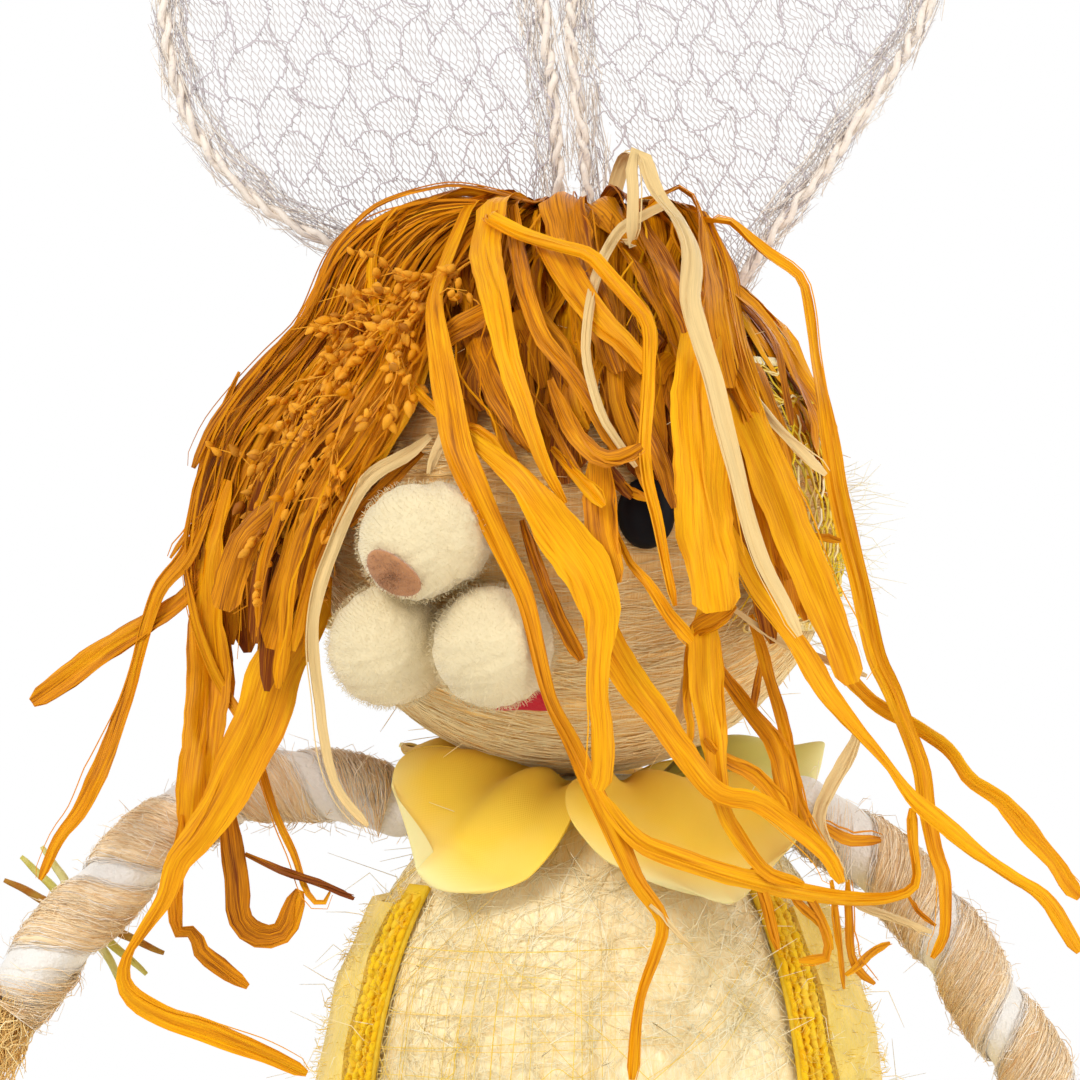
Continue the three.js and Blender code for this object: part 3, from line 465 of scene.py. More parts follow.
def new_group(name, inputs, outputs):
    """An empty node group with named sockets; inputs map a name to its default."""
    tree = bpy.data.node_groups.new(name, "ShaderNodeTree")
    kinds = {float: "NodeSocketFloat", tuple: "NodeSocketColor"}
    for key, value in inputs.items():
        kind = "NodeSocketVector" if value is None else kinds[type(value)]
        socket = tree.interface.new_socket(name=key, in_out="INPUT", socket_type=kind)
        if value is not None:
            socket.default_value = (*value, 1)[:4] if isinstance(value, tuple) else value
    for key, kind in outputs.items():
        tree.interface.new_socket(name=key, in_out="OUTPUT", socket_type="NodeSocket" + kind)
    return tree, tree.nodes.new("NodeGroupInput").outputs, tree.nodes.new("NodeGroupOutput").inputs


def streak_group():
    """Grain drawn out along one axis: noise on coordinates scaled differently across and along."""
    tree, got, out = new_group(
        "streak_grain", {"Vector": None, "Across": 2.0, "Along": 0.1, "Sharp": 0.5},
        {"Mask": "Float", "Height": "Float"},
    )
    scale = node(tree, "CombineXYZ", {0: got["Across"], 1: got["Along"], 2: got["Across"]}).outputs[0]
    place = node(tree, "VectorMath", {0: got["Vector"], 1: scale}, operation="MULTIPLY").outputs[0]
    coarse = noise(tree, place, 1.0, Detail=4.0, Roughness=0.65)
    fine = noise(tree, place, 3.3, Detail=2.0)
    both = maths(tree, "MULTIPLY_ADD", fine, 0.35, maths(tree, "MULTIPLY", coarse, 0.65))
    half = maths(tree, "MULTIPLY", got["Sharp"], 0.3)
    low = maths(tree, "ADD", maths(tree, "SUBTRACT", 0.2, half), 0.28)
    high = maths(tree, "ADD", maths(tree, "ADD", 0.2, half), 0.32)
    tree.links.new(spread(tree, both, low, high), out["Mask"])
    tree.links.new(both, out["Height"])
    return tree


def shade_group():
    """A colour between dark, middle and light by tone, moved up and down by grain."""
    tree, got, out = new_group(
        "fibre_shade",
        {"Tone": 0.5, "Grain": 0.5, "Sway": 0.5, "Dark": (0.2, 0.1, 0.0), "Middle": (0.5, 0.3, 0.1),
         "Light": (0.9, 0.8, 0.5)},
        {"Color": "Color"},
    )
    sway = maths(tree, "MULTIPLY", maths(tree, "SUBTRACT", got["Grain"], 0.5), got["Sway"])
    tone = maths(tree, "ADD", got["Tone"], sway)
    lower = blended(tree, spread(tree, tone, 0.0, 0.5), got["Dark"], got["Middle"])
    tree.links.new(blended(tree, spread(tree, tone, 0.5, 1.0), lower, got["Light"]), out["Color"])
    return tree


def felt_group():
    """Matted wool: fine noise over cloudy noise."""
    outputs = {"Mask": "Float", "Height": "Float"}
    tree, got, out = new_group("felt_mat", {"Vector": None, "Scale": 1.0}, outputs)
    place = node(tree, "VectorMath", {0: got["Vector"], "Scale": got["Scale"]}, operation="SCALE").outputs[0]
    fine = noise(tree, place, 900.0, Detail=3.0)
    cloud = noise(tree, place, 130.0, Detail=2.0)
    lump = noise(tree, place, 420.0, Distortion=1.5)
    tree.links.new(spread(tree, cloud, 0.3, 0.7), out["Mask"])
    tree.links.new(maths(tree, "MULTIPLY_ADD", lump, 0.6, fine), out["Height"])
    return tree


def weave_group():
    """Plain cloth: the product of two sine waves, Threads to the metre of the coordinates."""
    tree, got, out = new_group("plain_weave", {"Vector": None, "Threads": 2500.0}, {"Height": "Float"})
    axes = node(tree, "SeparateXYZ", {0: got["Vector"]}).outputs
    rate = maths(tree, "MULTIPLY", got["Threads"], math.pi)
    waves = [maths(tree, "SINE", maths(tree, "MULTIPLY", axes[k], rate)) for k in (0, 1)]
    tree.links.new(maths(tree, "MULTIPLY", waves[0], waves[1]), out["Height"])
    return tree


GROUPS = {"streak": streak_group, "shade": shade_group, "felt": felt_group, "weave": weave_group}


def placed(tree, name, inputs):
    """A node of one of the shader groups, which is built when it is first used."""
    built = GROUPS[name]
    if callable(built):
        built = GROUPS[name] = built()
    made = tree.nodes.new("ShaderNodeGroup")
    made.node_tree = built
    fill(tree, made, inputs)
    return made.outputs


def shaded(tree, shades, tone, grain, sway):
    """The colour between three named ones by tone and grain, from the fibre_shade group."""
    dark, middle, light = (rgb(shade) for shade in shades)
    return placed(tree, "shade", {
        "Tone": tone, "Grain": grain, "Sway": sway, "Dark": dark, "Middle": middle, "Light": light,
    })["Color"]


def rgb(name):
    return tuple(getattr(colours(), name))


def start_material(name, roughness, sheen=0.0, soft=0.0):
    """A material with its own Principled BSDF."""
    material = bpy.data.materials.new(name)
    material.use_nodes = True
    tree = material.node_tree
    shader = tree.nodes["Principled BSDF"]
    shader.inputs["Roughness"].default_value = roughness
    shader.inputs["Sheen Weight"].default_value = sheen
    shader.inputs["Sheen Roughness"].default_value = 0.5
    shader.inputs["Subsurface Weight"].default_value = soft
    shader.inputs["Subsurface Scale"].default_value = 0.002
    return material, tree, shader


def set_bump(tree, shader, height, strength, distance):
    bump = node(tree, "Bump", {"Height": height, "Strength": strength, "Distance": distance})
    tree.links.new(bump.outputs[0], shader.inputs["Normal"])


def tone_of(tree):
    return node(tree, "Attribute", attribute_name="tone").outputs["Fac"]


def fibre_material(name, shades, roughness=0.42, sway=0.35):
    """Loose fibres: a shade for each by its tone, with fine mottling along it."""
    material, tree, shader = start_material(name, roughness)
    shader.inputs["Specular IOR Level"].default_value = 0.15
    place = node(tree, "TexCoord").outputs["Object"]
    grain = noise(tree, place, 260.0, Detail=2.0)
    tree.links.new(shaded(tree, shades, tone_of(tree), grain, sway), shader.inputs["Base Color"])
    return material


def combed_material(name, shades, across, along, bump, roughness=0.55, level=0.5, sway=0.9):
    """Fibres laid side by side: streaks along the surface's own UV map, in millimetres."""
    material, tree, shader = start_material(name, roughness)
    place = node(tree, "UVMap", uv_map="UVMap").outputs[0]
    streak = placed(tree, "streak", {"Vector": place, "Across": across, "Along": along, "Sharp": 0.6})
    tree.links.new(shaded(tree, shades, level, streak["Mask"], sway), shader.inputs["Base Color"])
    set_bump(tree, shader, streak["Height"], 0.8, bump)
    return material


def raffia_material(name):
    """Dyed raffia: each strip's tone picks its gold, streaks run along it, and the palest are undyed."""
    material, tree, shader = start_material(name, 0.5)
    shader.inputs["Specular IOR Level"].default_value = 0.16
    place = node(tree, "UVMap", uv_map="UVMap").outputs[0]
    streak = placed(tree, "streak", {"Vector": place, "Across": 1.7, "Along": 0.03, "Sharp": 0.4})
    broad = placed(tree, "streak", {"Vector": place, "Across": 0.25, "Along": 0.03, "Sharp": 0.9})
    grain = maths(tree, "MULTIPLY_ADD", broad["Mask"], 0.45, maths(tree, "MULTIPLY", streak["Mask"], 0.55))
    tone = tone_of(tree)
    dyed = shaded(tree, ("raffia_dark", "raffia_mid", "raffia_light"), tone, grain, 1.3)
    plain = blended(tree, grain, tuple(0.72 * v for v in rgb("raffia_plain")), rgb("raffia_plain"))
    undyed = spread(tree, tone, 1.4, 1.6)
    tree.links.new(blended(tree, undyed, dyed, plain), shader.inputs["Base Color"])
    set_bump(tree, shader, streak["Height"], 1.0, 0.0003)
    return material


def felt_material(name, shade, scale=1.0, bump=0.0006, sheen=0.35, darker=0.82):
    """Felt: matted wool with cloudy colour and a soft sheen."""
    material, tree, shader = start_material(name, 0.95, sheen=sheen)
    place = node(tree, "TexCoord").outputs["Object"]
    mat = placed(tree, "felt", {"Vector": place, "Scale": scale})
    dim = tuple(darker * v for v in rgb(shade))
    tree.links.new(blended(tree, mat["Mask"], dim, rgb(shade)), shader.inputs["Base Color"])
    set_bump(tree, shader, mat["Height"], 0.6, bump)
    return material


def cloth_material(name, near, far):
    """Petal cloth: warm near the neck and pale at the rim by its tone, with a fine weave and soft clouds."""
    material, tree, shader = start_material(name, 0.7, sheen=0.06, soft=0.1)
    tone = tone_of(tree)
    place = node(tree, "TexCoord").outputs["Object"]
    cloud = noise(tree, place, 45.0, Detail=3.0)
    share = maths(tree, "ADD", tone, maths(tree, "MULTIPLY", maths(tree, "SUBTRACT", cloud, 0.5), 0.5))
    base = blended(tree, spread(tree, share, 0.15, 0.95), rgb(near), rgb(far))
    tree.links.new(base, shader.inputs["Base Color"])
    uv = node(tree, "UVMap", uv_map="UVMap").outputs[0]
    weave = placed(tree, "weave", {"Vector": uv, "Threads": 3.2})
    set_bump(tree, shader, weave["Height"], 0.12, 0.00015)
    return material


def plain_material(name, shade, roughness, metallic=0.0, scale=300.0, darker=0.75, level=0.5):
    """A hard piece: its colour mottled by fine noise."""
    material, tree, shader = start_material(name, roughness)
    shader.inputs["Metallic"].default_value = metallic
    shader.inputs["Specular IOR Level"].default_value = level
    place = node(tree, "TexCoord").outputs["Object"]
    grain = noise(tree, place, scale, Detail=3.0)
    dim = tuple(darker * v for v in shade)
    tree.links.new(blended(tree, grain, dim, shade), shader.inputs["Base Color"])
    return material


TAN = ("sisal_dark", "sisal_mid", "sisal_light")
CREAM = ("cream_dark", "cream_mid", "cream_light")
SILK = ("silk_dark", "silk_mid", "silk_light")

# The maker of each finish and its settings
FINISHES = {
    "tan_fibres": (fibre_material, {"shades": TAN}),
    "cream_fibres": (fibre_material, {"shades": CREAM}),
    "silk_fibres": (fibre_material, {"shades": SILK, "roughness": 0.36}),
    "tan_combed": (combed_material, {"shades": TAN, "across": 2.2, "along": 0.03, "bump": 0.0004}),
    "torso_skin": (combed_material, {"shades": CREAM, "across": 0.9, "along": 0.25, "bump": 0.0004,
                                     "level": 0.6}),
    "band_combed": (combed_material, {"shades": SILK, "across": 2.6, "along": 0.02, "bump": 0.0004,
                                      "roughness": 0.4}),
    "netting": (fibre_material, {"shades": ("cream_dark", "netting", "cream_light"), "roughness": 0.5,
                                 "sway": 0.25}),
    "raffia": (raffia_material, {}),
    "millet": (fibre_material, {"shades": ("millet_dark", "millet_light", "raffia_mid"), "roughness": 0.5,
                                "sway": 0.5}),
    "cotton": (felt_material, {"shade": "cotton", "darker": 0.93}),
    "cotton_hair": (fibre_material, {"shades": ("cotton",) * 3, "roughness": 0.9, "sway": 0.0}),
    "nose_felt": (felt_material, {"shade": "nose"}),
    "tongue_felt": (felt_material, {"shade": "tongue", "sheen": 0.15}),
    "eye": (plain_material, {"shade": (0.006, 0.005, 0.006), "roughness": 0.45, "darker": 0.9,
                              "level": 0.12}),
    "petal": (cloth_material, {"near": "petal_warm", "far": "petal_pale"}),
    "petal_side": (cloth_material, {"near": "petal_olive", "far": "petal_pale"}),
    "vest_felt": (felt_material, {"shade": "felt_yellow", "bump": 0.001}),
    "vest_hair": (fibre_material, {"shades": ("braid", "felt_yellow", "cream_light"), "roughness": 0.8,
                                   "sway": 0.4}),
    # The braid's dark end also gives painted shade to the stitch row by the vest's front edge.
    "braid": (fibre_material, {"shades": ("raffia_light", "braid", "felt_yellow"), "roughness": 0.8,
                               "sway": 0.3}),
    "wadding": (felt_material, {"shade": "wadding", "bump": 0.0008, "darker": 0.95}),
    "ear_cord": (fibre_material, {"shades": ("ear_web", "ear_cord", "ear_cord"), "roughness": 0.8,
                                  "sway": 0.5}),
    "ear_net": (fibre_material, {"shades": ("ear_net", "ear_web", "ear_cord"), "roughness": 0.8,
                                 "sway": 0.1}),
    "ribbon": (fibre_material, {"shades": ("petal_olive", "braid", "cream_light"), "roughness": 0.7,
                                "sway": 0.4}),
    "stem": (fibre_material, {"shades": ("millet_dark", "petal_olive", "cream_light"), "roughness": 0.6,
                              "sway": 0.4}),
    "wire": (plain_material, {"shade": (0.27, 0.28, 0.29), "roughness": 0.4, "metallic": 1.0}),
    "dowel": (plain_material, {"shade": (0.57, 0.33, 0.13), "roughness": 0.7, "scale": 120.0}),
    "foam": (felt_material, {"shade": "wadding", "scale": 0.6, "darker": 0.9}),
}
MATERIALS = {}


def finish(name):
    """A material by its short name, made once."""
    if name not in MATERIALS:
        maker, settings = FINISHES[name]
        MATERIALS[name] = maker(name, **settings)
    return MATERIALS[name]


# Sheets, strips and limbs


def slabs(top, bottom):
    """Closed sheets between two like grids, each sheets x rows x points x 3, with top on the outside."""
    count, rows, across, _ = top.shape
    around = 2 * across
    rings = np.concatenate([top, bottom[:, :, ::-1]], 2)
    base = (np.arange(count) * rows * around)[:, None, None]
    walls = (grid_faces(rows, around, True)[None] + base).reshape(-1, 4)
    j = np.arange(across - 1)
    first = np.stack([j + 1, j, around - 1 - j, around - 2 - j], -1)[None] + base
    last = np.stack([j, j + 1, around - 2 - j, around - 1 - j], -1)[None] + base + (rows - 1) * around
    return rings.reshape(-1, 3), [walls, np.concatenate([first.reshape(-1, 4), last.reshape(-1, 4)])]


def slab_uv(u, v):
    """The coordinates of a slab's points: the same on both faces."""
    uv = np.stack(np.broadcast_arrays(u, v), -1)
    return np.concatenate([uv, uv[..., ::-1, :]], -2).reshape(-1, 2)


def cloth(points, thickness):
    """A closed sheet about a grid of points, rows x columns x 3, with its normals from the grid's slopes."""
    along, across = np.gradient(points, axis=0), np.gradient(points, axis=1)
    normal = unit(np.cross(across, along)) * (thickness / 2)
    return slabs((points + normal)[None], (points - normal)[None])


def strip(route, facing, wide, rng, depth=0.09, twist=0.22, across=9):
    """One strip of raffia: a thin sheet along a route, turned a little from the way it faces.

    Across it the height is a shallow sine wave, a crease and ridges of the leaf's grain, which run the
    length of the strip with a slow drift, and each of its edges sways by itself."""
    steps = len(route)
    c = np.linspace(-0.5, 0.5, across)[None]
    _, normal, side = frames(route, facing)
    turn = (twist * wander(rng, 1, steps)[0])[:, None]
    normal, side = normal * np.cos(turn) + side * np.sin(turn), side * np.cos(turn) - normal * np.sin(turn)
    phase = rng.random() + 0.35 * wander(rng, 1, steps).T
    line = 0.2 * wander(rng, 1, steps).T
    crease = rng.normal()
    wave = np.sin(TURN * (rng.uniform(0.7, 1.5) * c + phase))
    fold = 0.05 * (crease + wander(rng, 1, steps).T)
    ridges = rng.normal(0, 0.09, (1, across)) + 0.03 * wander(rng, across, steps).T
    rise = np.clip(wide, 0.5, 9)[:, None] * (depth * wave - fold * np.abs(c - line)) + ridges
    sway = 1 + 0.07 * wander(rng, 2, steps, (3, 8))
    reach = c * wide[:, None] * np.where(c < 0, sway[0][:, None], sway[1][:, None])
    middle = route[:, None] + side[:, None] * reach[..., None] + normal[:, None] * rise[..., None]
    half = normal[:, None] * (0.5 * sizes().raffia * (1 - 0.75 * (2 * c[0]) ** 4))[None, :, None]
    uv = slab_uv(c * wide[:, None] + 40 * rng.random(), run_length(route)[:, None] + 90 * rng.random())
    return slabs((middle + half)[None], (middle - half)[None]), uv


def gathered(parts):
    """Parts as one: their shapes joined, and each kind of value that goes with their points in one array."""
    shapes, *values = zip(*parts)
    return joined(*shapes), *(np.concatenate(kind) for kind in values)


def raffia_piece(name, parts, stands_for=(), body="root"):
    """Strips of (shape, uv, tone) as one piece of raffia."""
    shape, uv, tone = gathered(parts)
    piece(name, shape, "raffia", body, uv, tone, stands_for, crisp=True)


def outline_holds(points, outline):
    """True for each point inside a closed outline, by counting the edges that a ray to the right crosses."""
    x, y = points[..., 0, None], points[..., 1, None]
    a, b = outline, np.roll(outline, -1, 0)
    crosses = (a[:, 1] > y) != (b[:, 1] > y)
    slope = (b[:, 0] - a[:, 0]) / np.where(b[:, 1] == a[:, 1], 1e-9, b[:, 1] - a[:, 1])
    return (crosses & (x < slope * (y - a[:, 1]) + a[:, 0])).sum(-1) % 2 == 1


class Limb:
    """A middle line with directions across it: a place is a distance along it, a turn and a radius."""

    def __init__(self, points, reference, samples=160):
        self.path = spline(points, samples)
        self.run = run_length(self.path)
        self.length = self.run[-1]
        self.axes = frames(self.path, np.broadcast_to(np.asarray(reference, float), self.path.shape))

    def look_up(self, values, s):
        return np.stack([np.interp(s, self.run, values[:, k]) for k in range(3)], -1)

    def place(self, s, turn, radius):
        along, normal, side = (self.look_up(v, s) for v in self.axes)
        past = s - np.clip(s, 0, self.length)
        spoke = normal * np.cos(turn)[..., None] + side * np.sin(turn)[..., None]
        return self.look_up(self.path, s) + along * past[..., None] + spoke * np.asarray(radius)[..., None]

    def skin(self, start, stop, radius, rows, around, grow=None):
        """A closed tube from start to stop whose radius is grown by grow(s, turn), drawn in at both ends."""
        s = np.linspace(start, stop, rows)[:, None]
        turn = (TURN * np.arange(around) / around)[None]
        s, turn = np.broadcast_arrays(s, turn)
        ends = np.minimum(s - start, stop - s) / radius
        reach = radius * np.sqrt(np.clip(1 - (1 - np.clip(ends, 0.03, 1)) ** 2, 0, 1))
        if grow is not None:
            reach = reach + grow(s, turn)
        u = TURN * radius * np.arange(around + 1) / around
        return tubes(self.place(s, turn, reach)[None]), wrapped_uv(u, s[:, 0])


BAND_W, BAND_PITCH, BAND_THICK = 18.0, 25.0, 1.1


def band_swell(w):
    """Height of a wound band over its core across its width, from -0.5 to 0.5: flat with round edges."""
    return BAND_THICK * np.sqrt(np.clip(1 - np.abs(2 * w) ** 4, 0, 1))


def wound_band(limb, radius, start, stop, facing, across=14):
    """A flat band wound round a limb in a helix: its turn grows evenly with the distance along the limb."""
    rows = max(8, int((stop - start) / BAND_PITCH * 40))
    middle = np.linspace(start, stop, rows)[:, None]
    w = np.linspace(-0.5, 0.5, across)[None]
    s = middle + w * BAND_W
    turn = TURN * (middle - facing) / BAND_PITCH
    top = limb.place(s, turn, radius + 0.25 + band_swell(w))
    bottom = limb.place(s, turn, radius - 0.4)
    uv = slab_uv(w * BAND_W, middle * (TURN * radius / BAND_PITCH))
    return slabs(top[None], bottom[None]), uv


def band_fibres(limb, rng, count, radius, start, stop, facing):
    """Fibres along a wound band, and a few over the gap beside it, and how far each is from its middle."""
    steps = 8
    t = np.linspace(0, 1, steps)[None]
    middle = rng.uniform(start - 4, stop + 4, (count, 1)) + rng.uniform(9, 20, (count, 1)) * (t - 0.5)
    w = np.clip(rng.normal(0, 0.3, (count, 1)), -0.54, 0.54) + 0.05 * wander(rng, count, steps)
    s = np.clip(middle + w * BAND_W, start - BAND_W * 0.5, stop + BAND_W * 0.5)
    turn = TURN * (middle - facing) / BAND_PITCH
    lift = rng.random((count, 1)) ** 3 * 0.8 * np.sin(np.pi * t) + 0.12
    loose = rng.random((count, 1)) < 0.025
    lift = lift + loose * 3.2 * t ** 2
    return limb.place(s, turn, radius + 0.2 + band_swell(w) + lift), np.abs(w).mean(1)


# Camera and light

CAMERA_AT = np.array([-13.3, -1200.0, 201.8])
FRAME_WIDE = 239.8  # what the square picture takes in at the middle of the figure
SENSOR = 36.0
LAMP_AIM = (0, 0, 200)
# Name, place in millimetres, power in watts and width in metres
LAMPS = (
    ("key", (-750, -800, 1000), 10.2, 0.6),
    ("fill", (900, -700, 350), 6.2, 0.9),
    ("back", (300, 900, 700), 5, 0.7),
)
WORLD_LIGHT = 0.6
FLOOR_HALF = 0.75
FLOOR_FADE = (0.3, 0.7)  # how far from the middle, in metres, the floor begins and ends to turn white


def area_lamp(name, place, power, size):
    """A square lamp at a place in millimetres, turned to the figure's middle."""
    data = bpy.data.lights.new(name, "AREA")
    data.energy, data.size = power, size
    lamp = bpy.data.objects.new(name, data)
    bpy.context.scene.collection.objects.link(lamp)
    lamp.location = [v * MM for v in place]
    way = Vector([b - a for a, b in zip(place, LAMP_AIM)])
    lamp.rotation_euler = way.to_track_quat("-Z", "Y").to_euler()


def seen_directly(tree):
    """1 where a camera, mirror or glass ray meets the surface or the world, and 0 for other light."""
    path = node(tree, "LightPath").outputs
    seen = maths(tree, "MAXIMUM", path["Is Camera Ray"], path["Is Glossy Ray"])
    return maths(tree, "MAXIMUM", seen, path["Is Transmission Ray"])


def mix_shaders(tree, share, first, second, output):
    """Shows the first shader, and the second where share is 1."""
    tree.links.new(node(tree, "MixShader", {0: share, 1: first, 2: second}).outputs[0], output)


class RABBIT_OT_stage(bpy.types.Operator):
    """Camera, lamps, pale world and floor"""

    bl_idname = "rabbit.stage"
    bl_label = "Stage"

    def execute(self, context):
        scene = context.scene
        scene.view_settings.view_transform = "Standard"
        data = bpy.data.cameras.new("Camera")
        data.sensor_width = SENSOR
        data.lens = -SENSOR * CAMERA_AT[1] / FRAME_WIDE
        camera = bpy.data.objects.new("Camera", data)
        scene.collection.objects.link(camera)
        camera.location = CAMERA_AT * MM
        camera.rotation_euler = (math.pi / 2, 0, 0)
        scene.camera = camera

        for lamp in LAMPS:
            area_lamp(*lamp)

        world = bpy.data.worlds.new("Studio")
        scene.world = world
        world.use_nodes = True
        tree = world.node_tree
        light = node(tree, "Background", {"Color": (1, 1, 1), "Strength": WORLD_LIGHT}).outputs[0]
        white = node(tree, "Background", {"Color": (1, 1, 1), "Strength": 1.0}).outputs[0]
        mix_shaders(tree, seen_directly(tree), light, white, tree.nodes["World Output"].inputs[0])

        mesh = bpy.data.meshes.new("floor")
        corners = [(x * FLOOR_HALF, y * FLOOR_HALF, 0) for x, y in ((-1, -1), (1, -1), (1, 1), (-1, 1))]
        mesh.from_pydata(corners, [], [(0, 1, 2, 3)])
        floor = bpy.data.objects.new("floor", mesh)
        scene.collection.objects.link(floor)
        material, tree, shader = start_material("floor", 0.9)
        shader.inputs["Base Color"].default_value = (0.86, 0.86, 0.85, 1)
        place = node(tree, "TexCoord").outputs["Object"]
        away = node(tree, "VectorMath", {0: place}, operation="LENGTH").outputs["Value"]
        share = maths(tree, "MULTIPLY", seen_directly(tree), spread(tree, away, *FLOOR_FADE))
        white = node(tree, "Emission", {"Strength": 1.0}).outputs[0]
        mix_shaders(tree, share, shader.outputs[0], white, tree.nodes["Material Output"].inputs[0])
        mesh.materials.append(material)
        return {"FINISHED"}


# Torso

TORSO_FIBRES, TORSO_STRAYS = 4400, 760


def on_torso(degrees, z, lift):
    """Points on the torso at a bearing and a height, standing off it by lift."""
    return bearing(degrees) * (torso_r(z) + lift)[..., None] + upright(z)


def wandering(rng, count, steps, start_turn, start_z, heading, reach, curl):
    """Bearings and heights along curly paths on the torso: a heading that sways, followed for a distance."""
    way = heading[:, None] + curl * wander(rng, count, steps, (0.4, 1.4))
    step = reach[:, None] / (steps - 1)
    z = start_z[:, None] + np.cumsum(np.sin(way) * step, 1)
    z = SEAT_TOP + 2 + np.abs(z - SEAT_TOP - 2)
    z = np.minimum(z, TORSO_TOP - 4)
    around = np.degrees(np.cumsum(np.cos(way) * step / np.maximum(torso_r(z), 18), 1))
    return start_turn[:, None] + around, z


class RABBIT_OT_torso(bpy.types.Operator):
    """Torso: sisal skin, curly fibres and a loose dyed netting over a felt seat"""

    bl_idname = "rabbit.torso"
    bl_label = "Torso"

    def execute(self, context):
        rng = np.random.default_rng(11)
        down = np.linspace(0, 1, 90)
        low = SEAT_TOP + (BELLY_Z - SEAT_TOP) * np.sin(0.5 * np.pi * down[:36] / down[35])
        high = BELLY_Z + (TORSO_TOP - 0.4 - BELLY_Z) * np.sin(0.5 * np.pi * np.linspace(0, 1, 54)) ** 0.95
        z = np.concatenate([low, high[1:]])[:, None]
        turn = np.linspace(0, 360, 120, endpoint=False)[None]
        bump = 0.35 * ripple(turn / 20, z / 20, rng, 5, 0.4, 1.2)
        rings = on_torso(turn, z, bump - 0.6)
        u = np.radians(np.linspace(0, 360, 121)) * BELLY_R
        piece("torso_skin", tubes(rings[None]), "torso_skin", uv=wrapped_uv(u, z[:, 0]),
              stands_for=["torso_cover"])

        count, long = TORSO_FIBRES, 6
        start_z = TORSO_TOP - (TORSO_TOP - 8) * rng.random(count) ** 0.85
        heading = rng.normal(0, 0.75, count) + np.where(rng.random(count) < 0.5, 0.35, -0.35)
        turn, z = wandering(rng, count, long, rng.uniform(0, 360, count), start_z, heading,
                            rng.uniform(12, 46, count), 0.9)
        lift = rng.uniform(-0.1, 0.6, (count, 1)) + 0.15 * wander(rng, count, long)
        shape = fibres(on_torso(turn, z, lift), rng.uniform(0.55, 1.05, count) * sizes().fibre)
        tone = np.clip(rng.normal(0.74, 0.16, count) - 0.12 * (start_z < 50), 0, 1)
        piece("torso_fibres", shape, "cream_fibres", tone=each(tone, shape))

        parts = []
        # Bearings, heights, headings, reach and curl of the threads' groups
        lines = [
            (rng.uniform(0, 360, 16), rng.uniform(8, 60, 16), rng.choice([0.7, 2.4], 16), (90, 170), 0.2),
            (np.full(16, -82.0), np.linspace(14, 112, 16), np.zeros(16), (88, 100), 0.05),
            (np.linspace(-80, 2, 15), np.full(15, 10.0), np.full(15, 1.57), (96, 110), 0.05),
            (rng.uniform(-88, 5, 40), rng.uniform(12, 100, 40), rng.normal(0, 1.2, 40), (8, 20), 1.0),
        ]
        for turns, low, way, reach, curl in lines:
            turns, low, way = (np.repeat(v, 3) + rng.normal(0, 0.6, 3 * len(v)) * k
                               for v, k in ((turns, 1), (low, 1), (way, 0.05)))
            count = len(turns)
            turn, z = wandering(rng, count, 28, turns, low, way, rng.uniform(*reach, count), curl)
            paths = on_torso(turn, z, 0.7 + 0.2 * wander(rng, count, 28))
            shape = fibres(paths, rng.uniform(0.06, 0.13, count))
            parts.append((shape, each(mottled(rng, 0.55, 0.16, count), shape)))
        shape, tone = gathered(parts)
        piece("torso_netting", shape, "netting", tone=tone)

        count = TORSO_STRAYS
        whiskers = rng.random(count) < 0.25
        place = (np.where(whiskers, rng.uniform(4, 38, count), rng.uniform(0, 360, count)),
                 np.where(whiskers, rng.uniform(96, 122, count), rng.uniform(12, 140, count)))
        roots = on_torso(*place, 0)
        out = unit(roots * [1, 1, 0] + upright(np.where(place[1] < 55, -20, 15)))
        middle = roots + out * rng.uniform(1.5, 5, (count, 1)) + rng.normal(0, 2.2, (count, 3))
        ends = middle + out * rng.uniform(-1, 4, (count, 1)) + rng.normal(0, 4, (count, 3))
        ends[:, 2] = np.maximum(ends[:, 2], 1)
        bends = np.stack([roots, (roots + middle) / 2 + rng.normal(0, 0.5, (count, 3)), middle, ends], 1)
        shape = fibres(bends, 0.85 * sizes().fibre)
        tone = each(rng.uniform(0.5, 1, count), shape)
        piece("torso_strays", shape, "cream_fibres", tone=tone)

        disc_r = SEAT_R - 0.3
        profile = np.array([[disc_r - 0.6, 0], [disc_r, 0.5], [disc_r, 1.5], [disc_r - 0.6, 2]])
        turn = np.linspace(0, 360, 120, endpoint=False)[None]
        rings = bearing(turn) * profile[:, :1, None] + upright(profile[:, 1:])
        piece("seat_felt", tubes(rings[None]), "vest_felt", stands_for=["seat_disc"])
        return {"FINISHED"}


# Head

HEAD_FIBRES, HEAD_STRAYS = 3500, 300


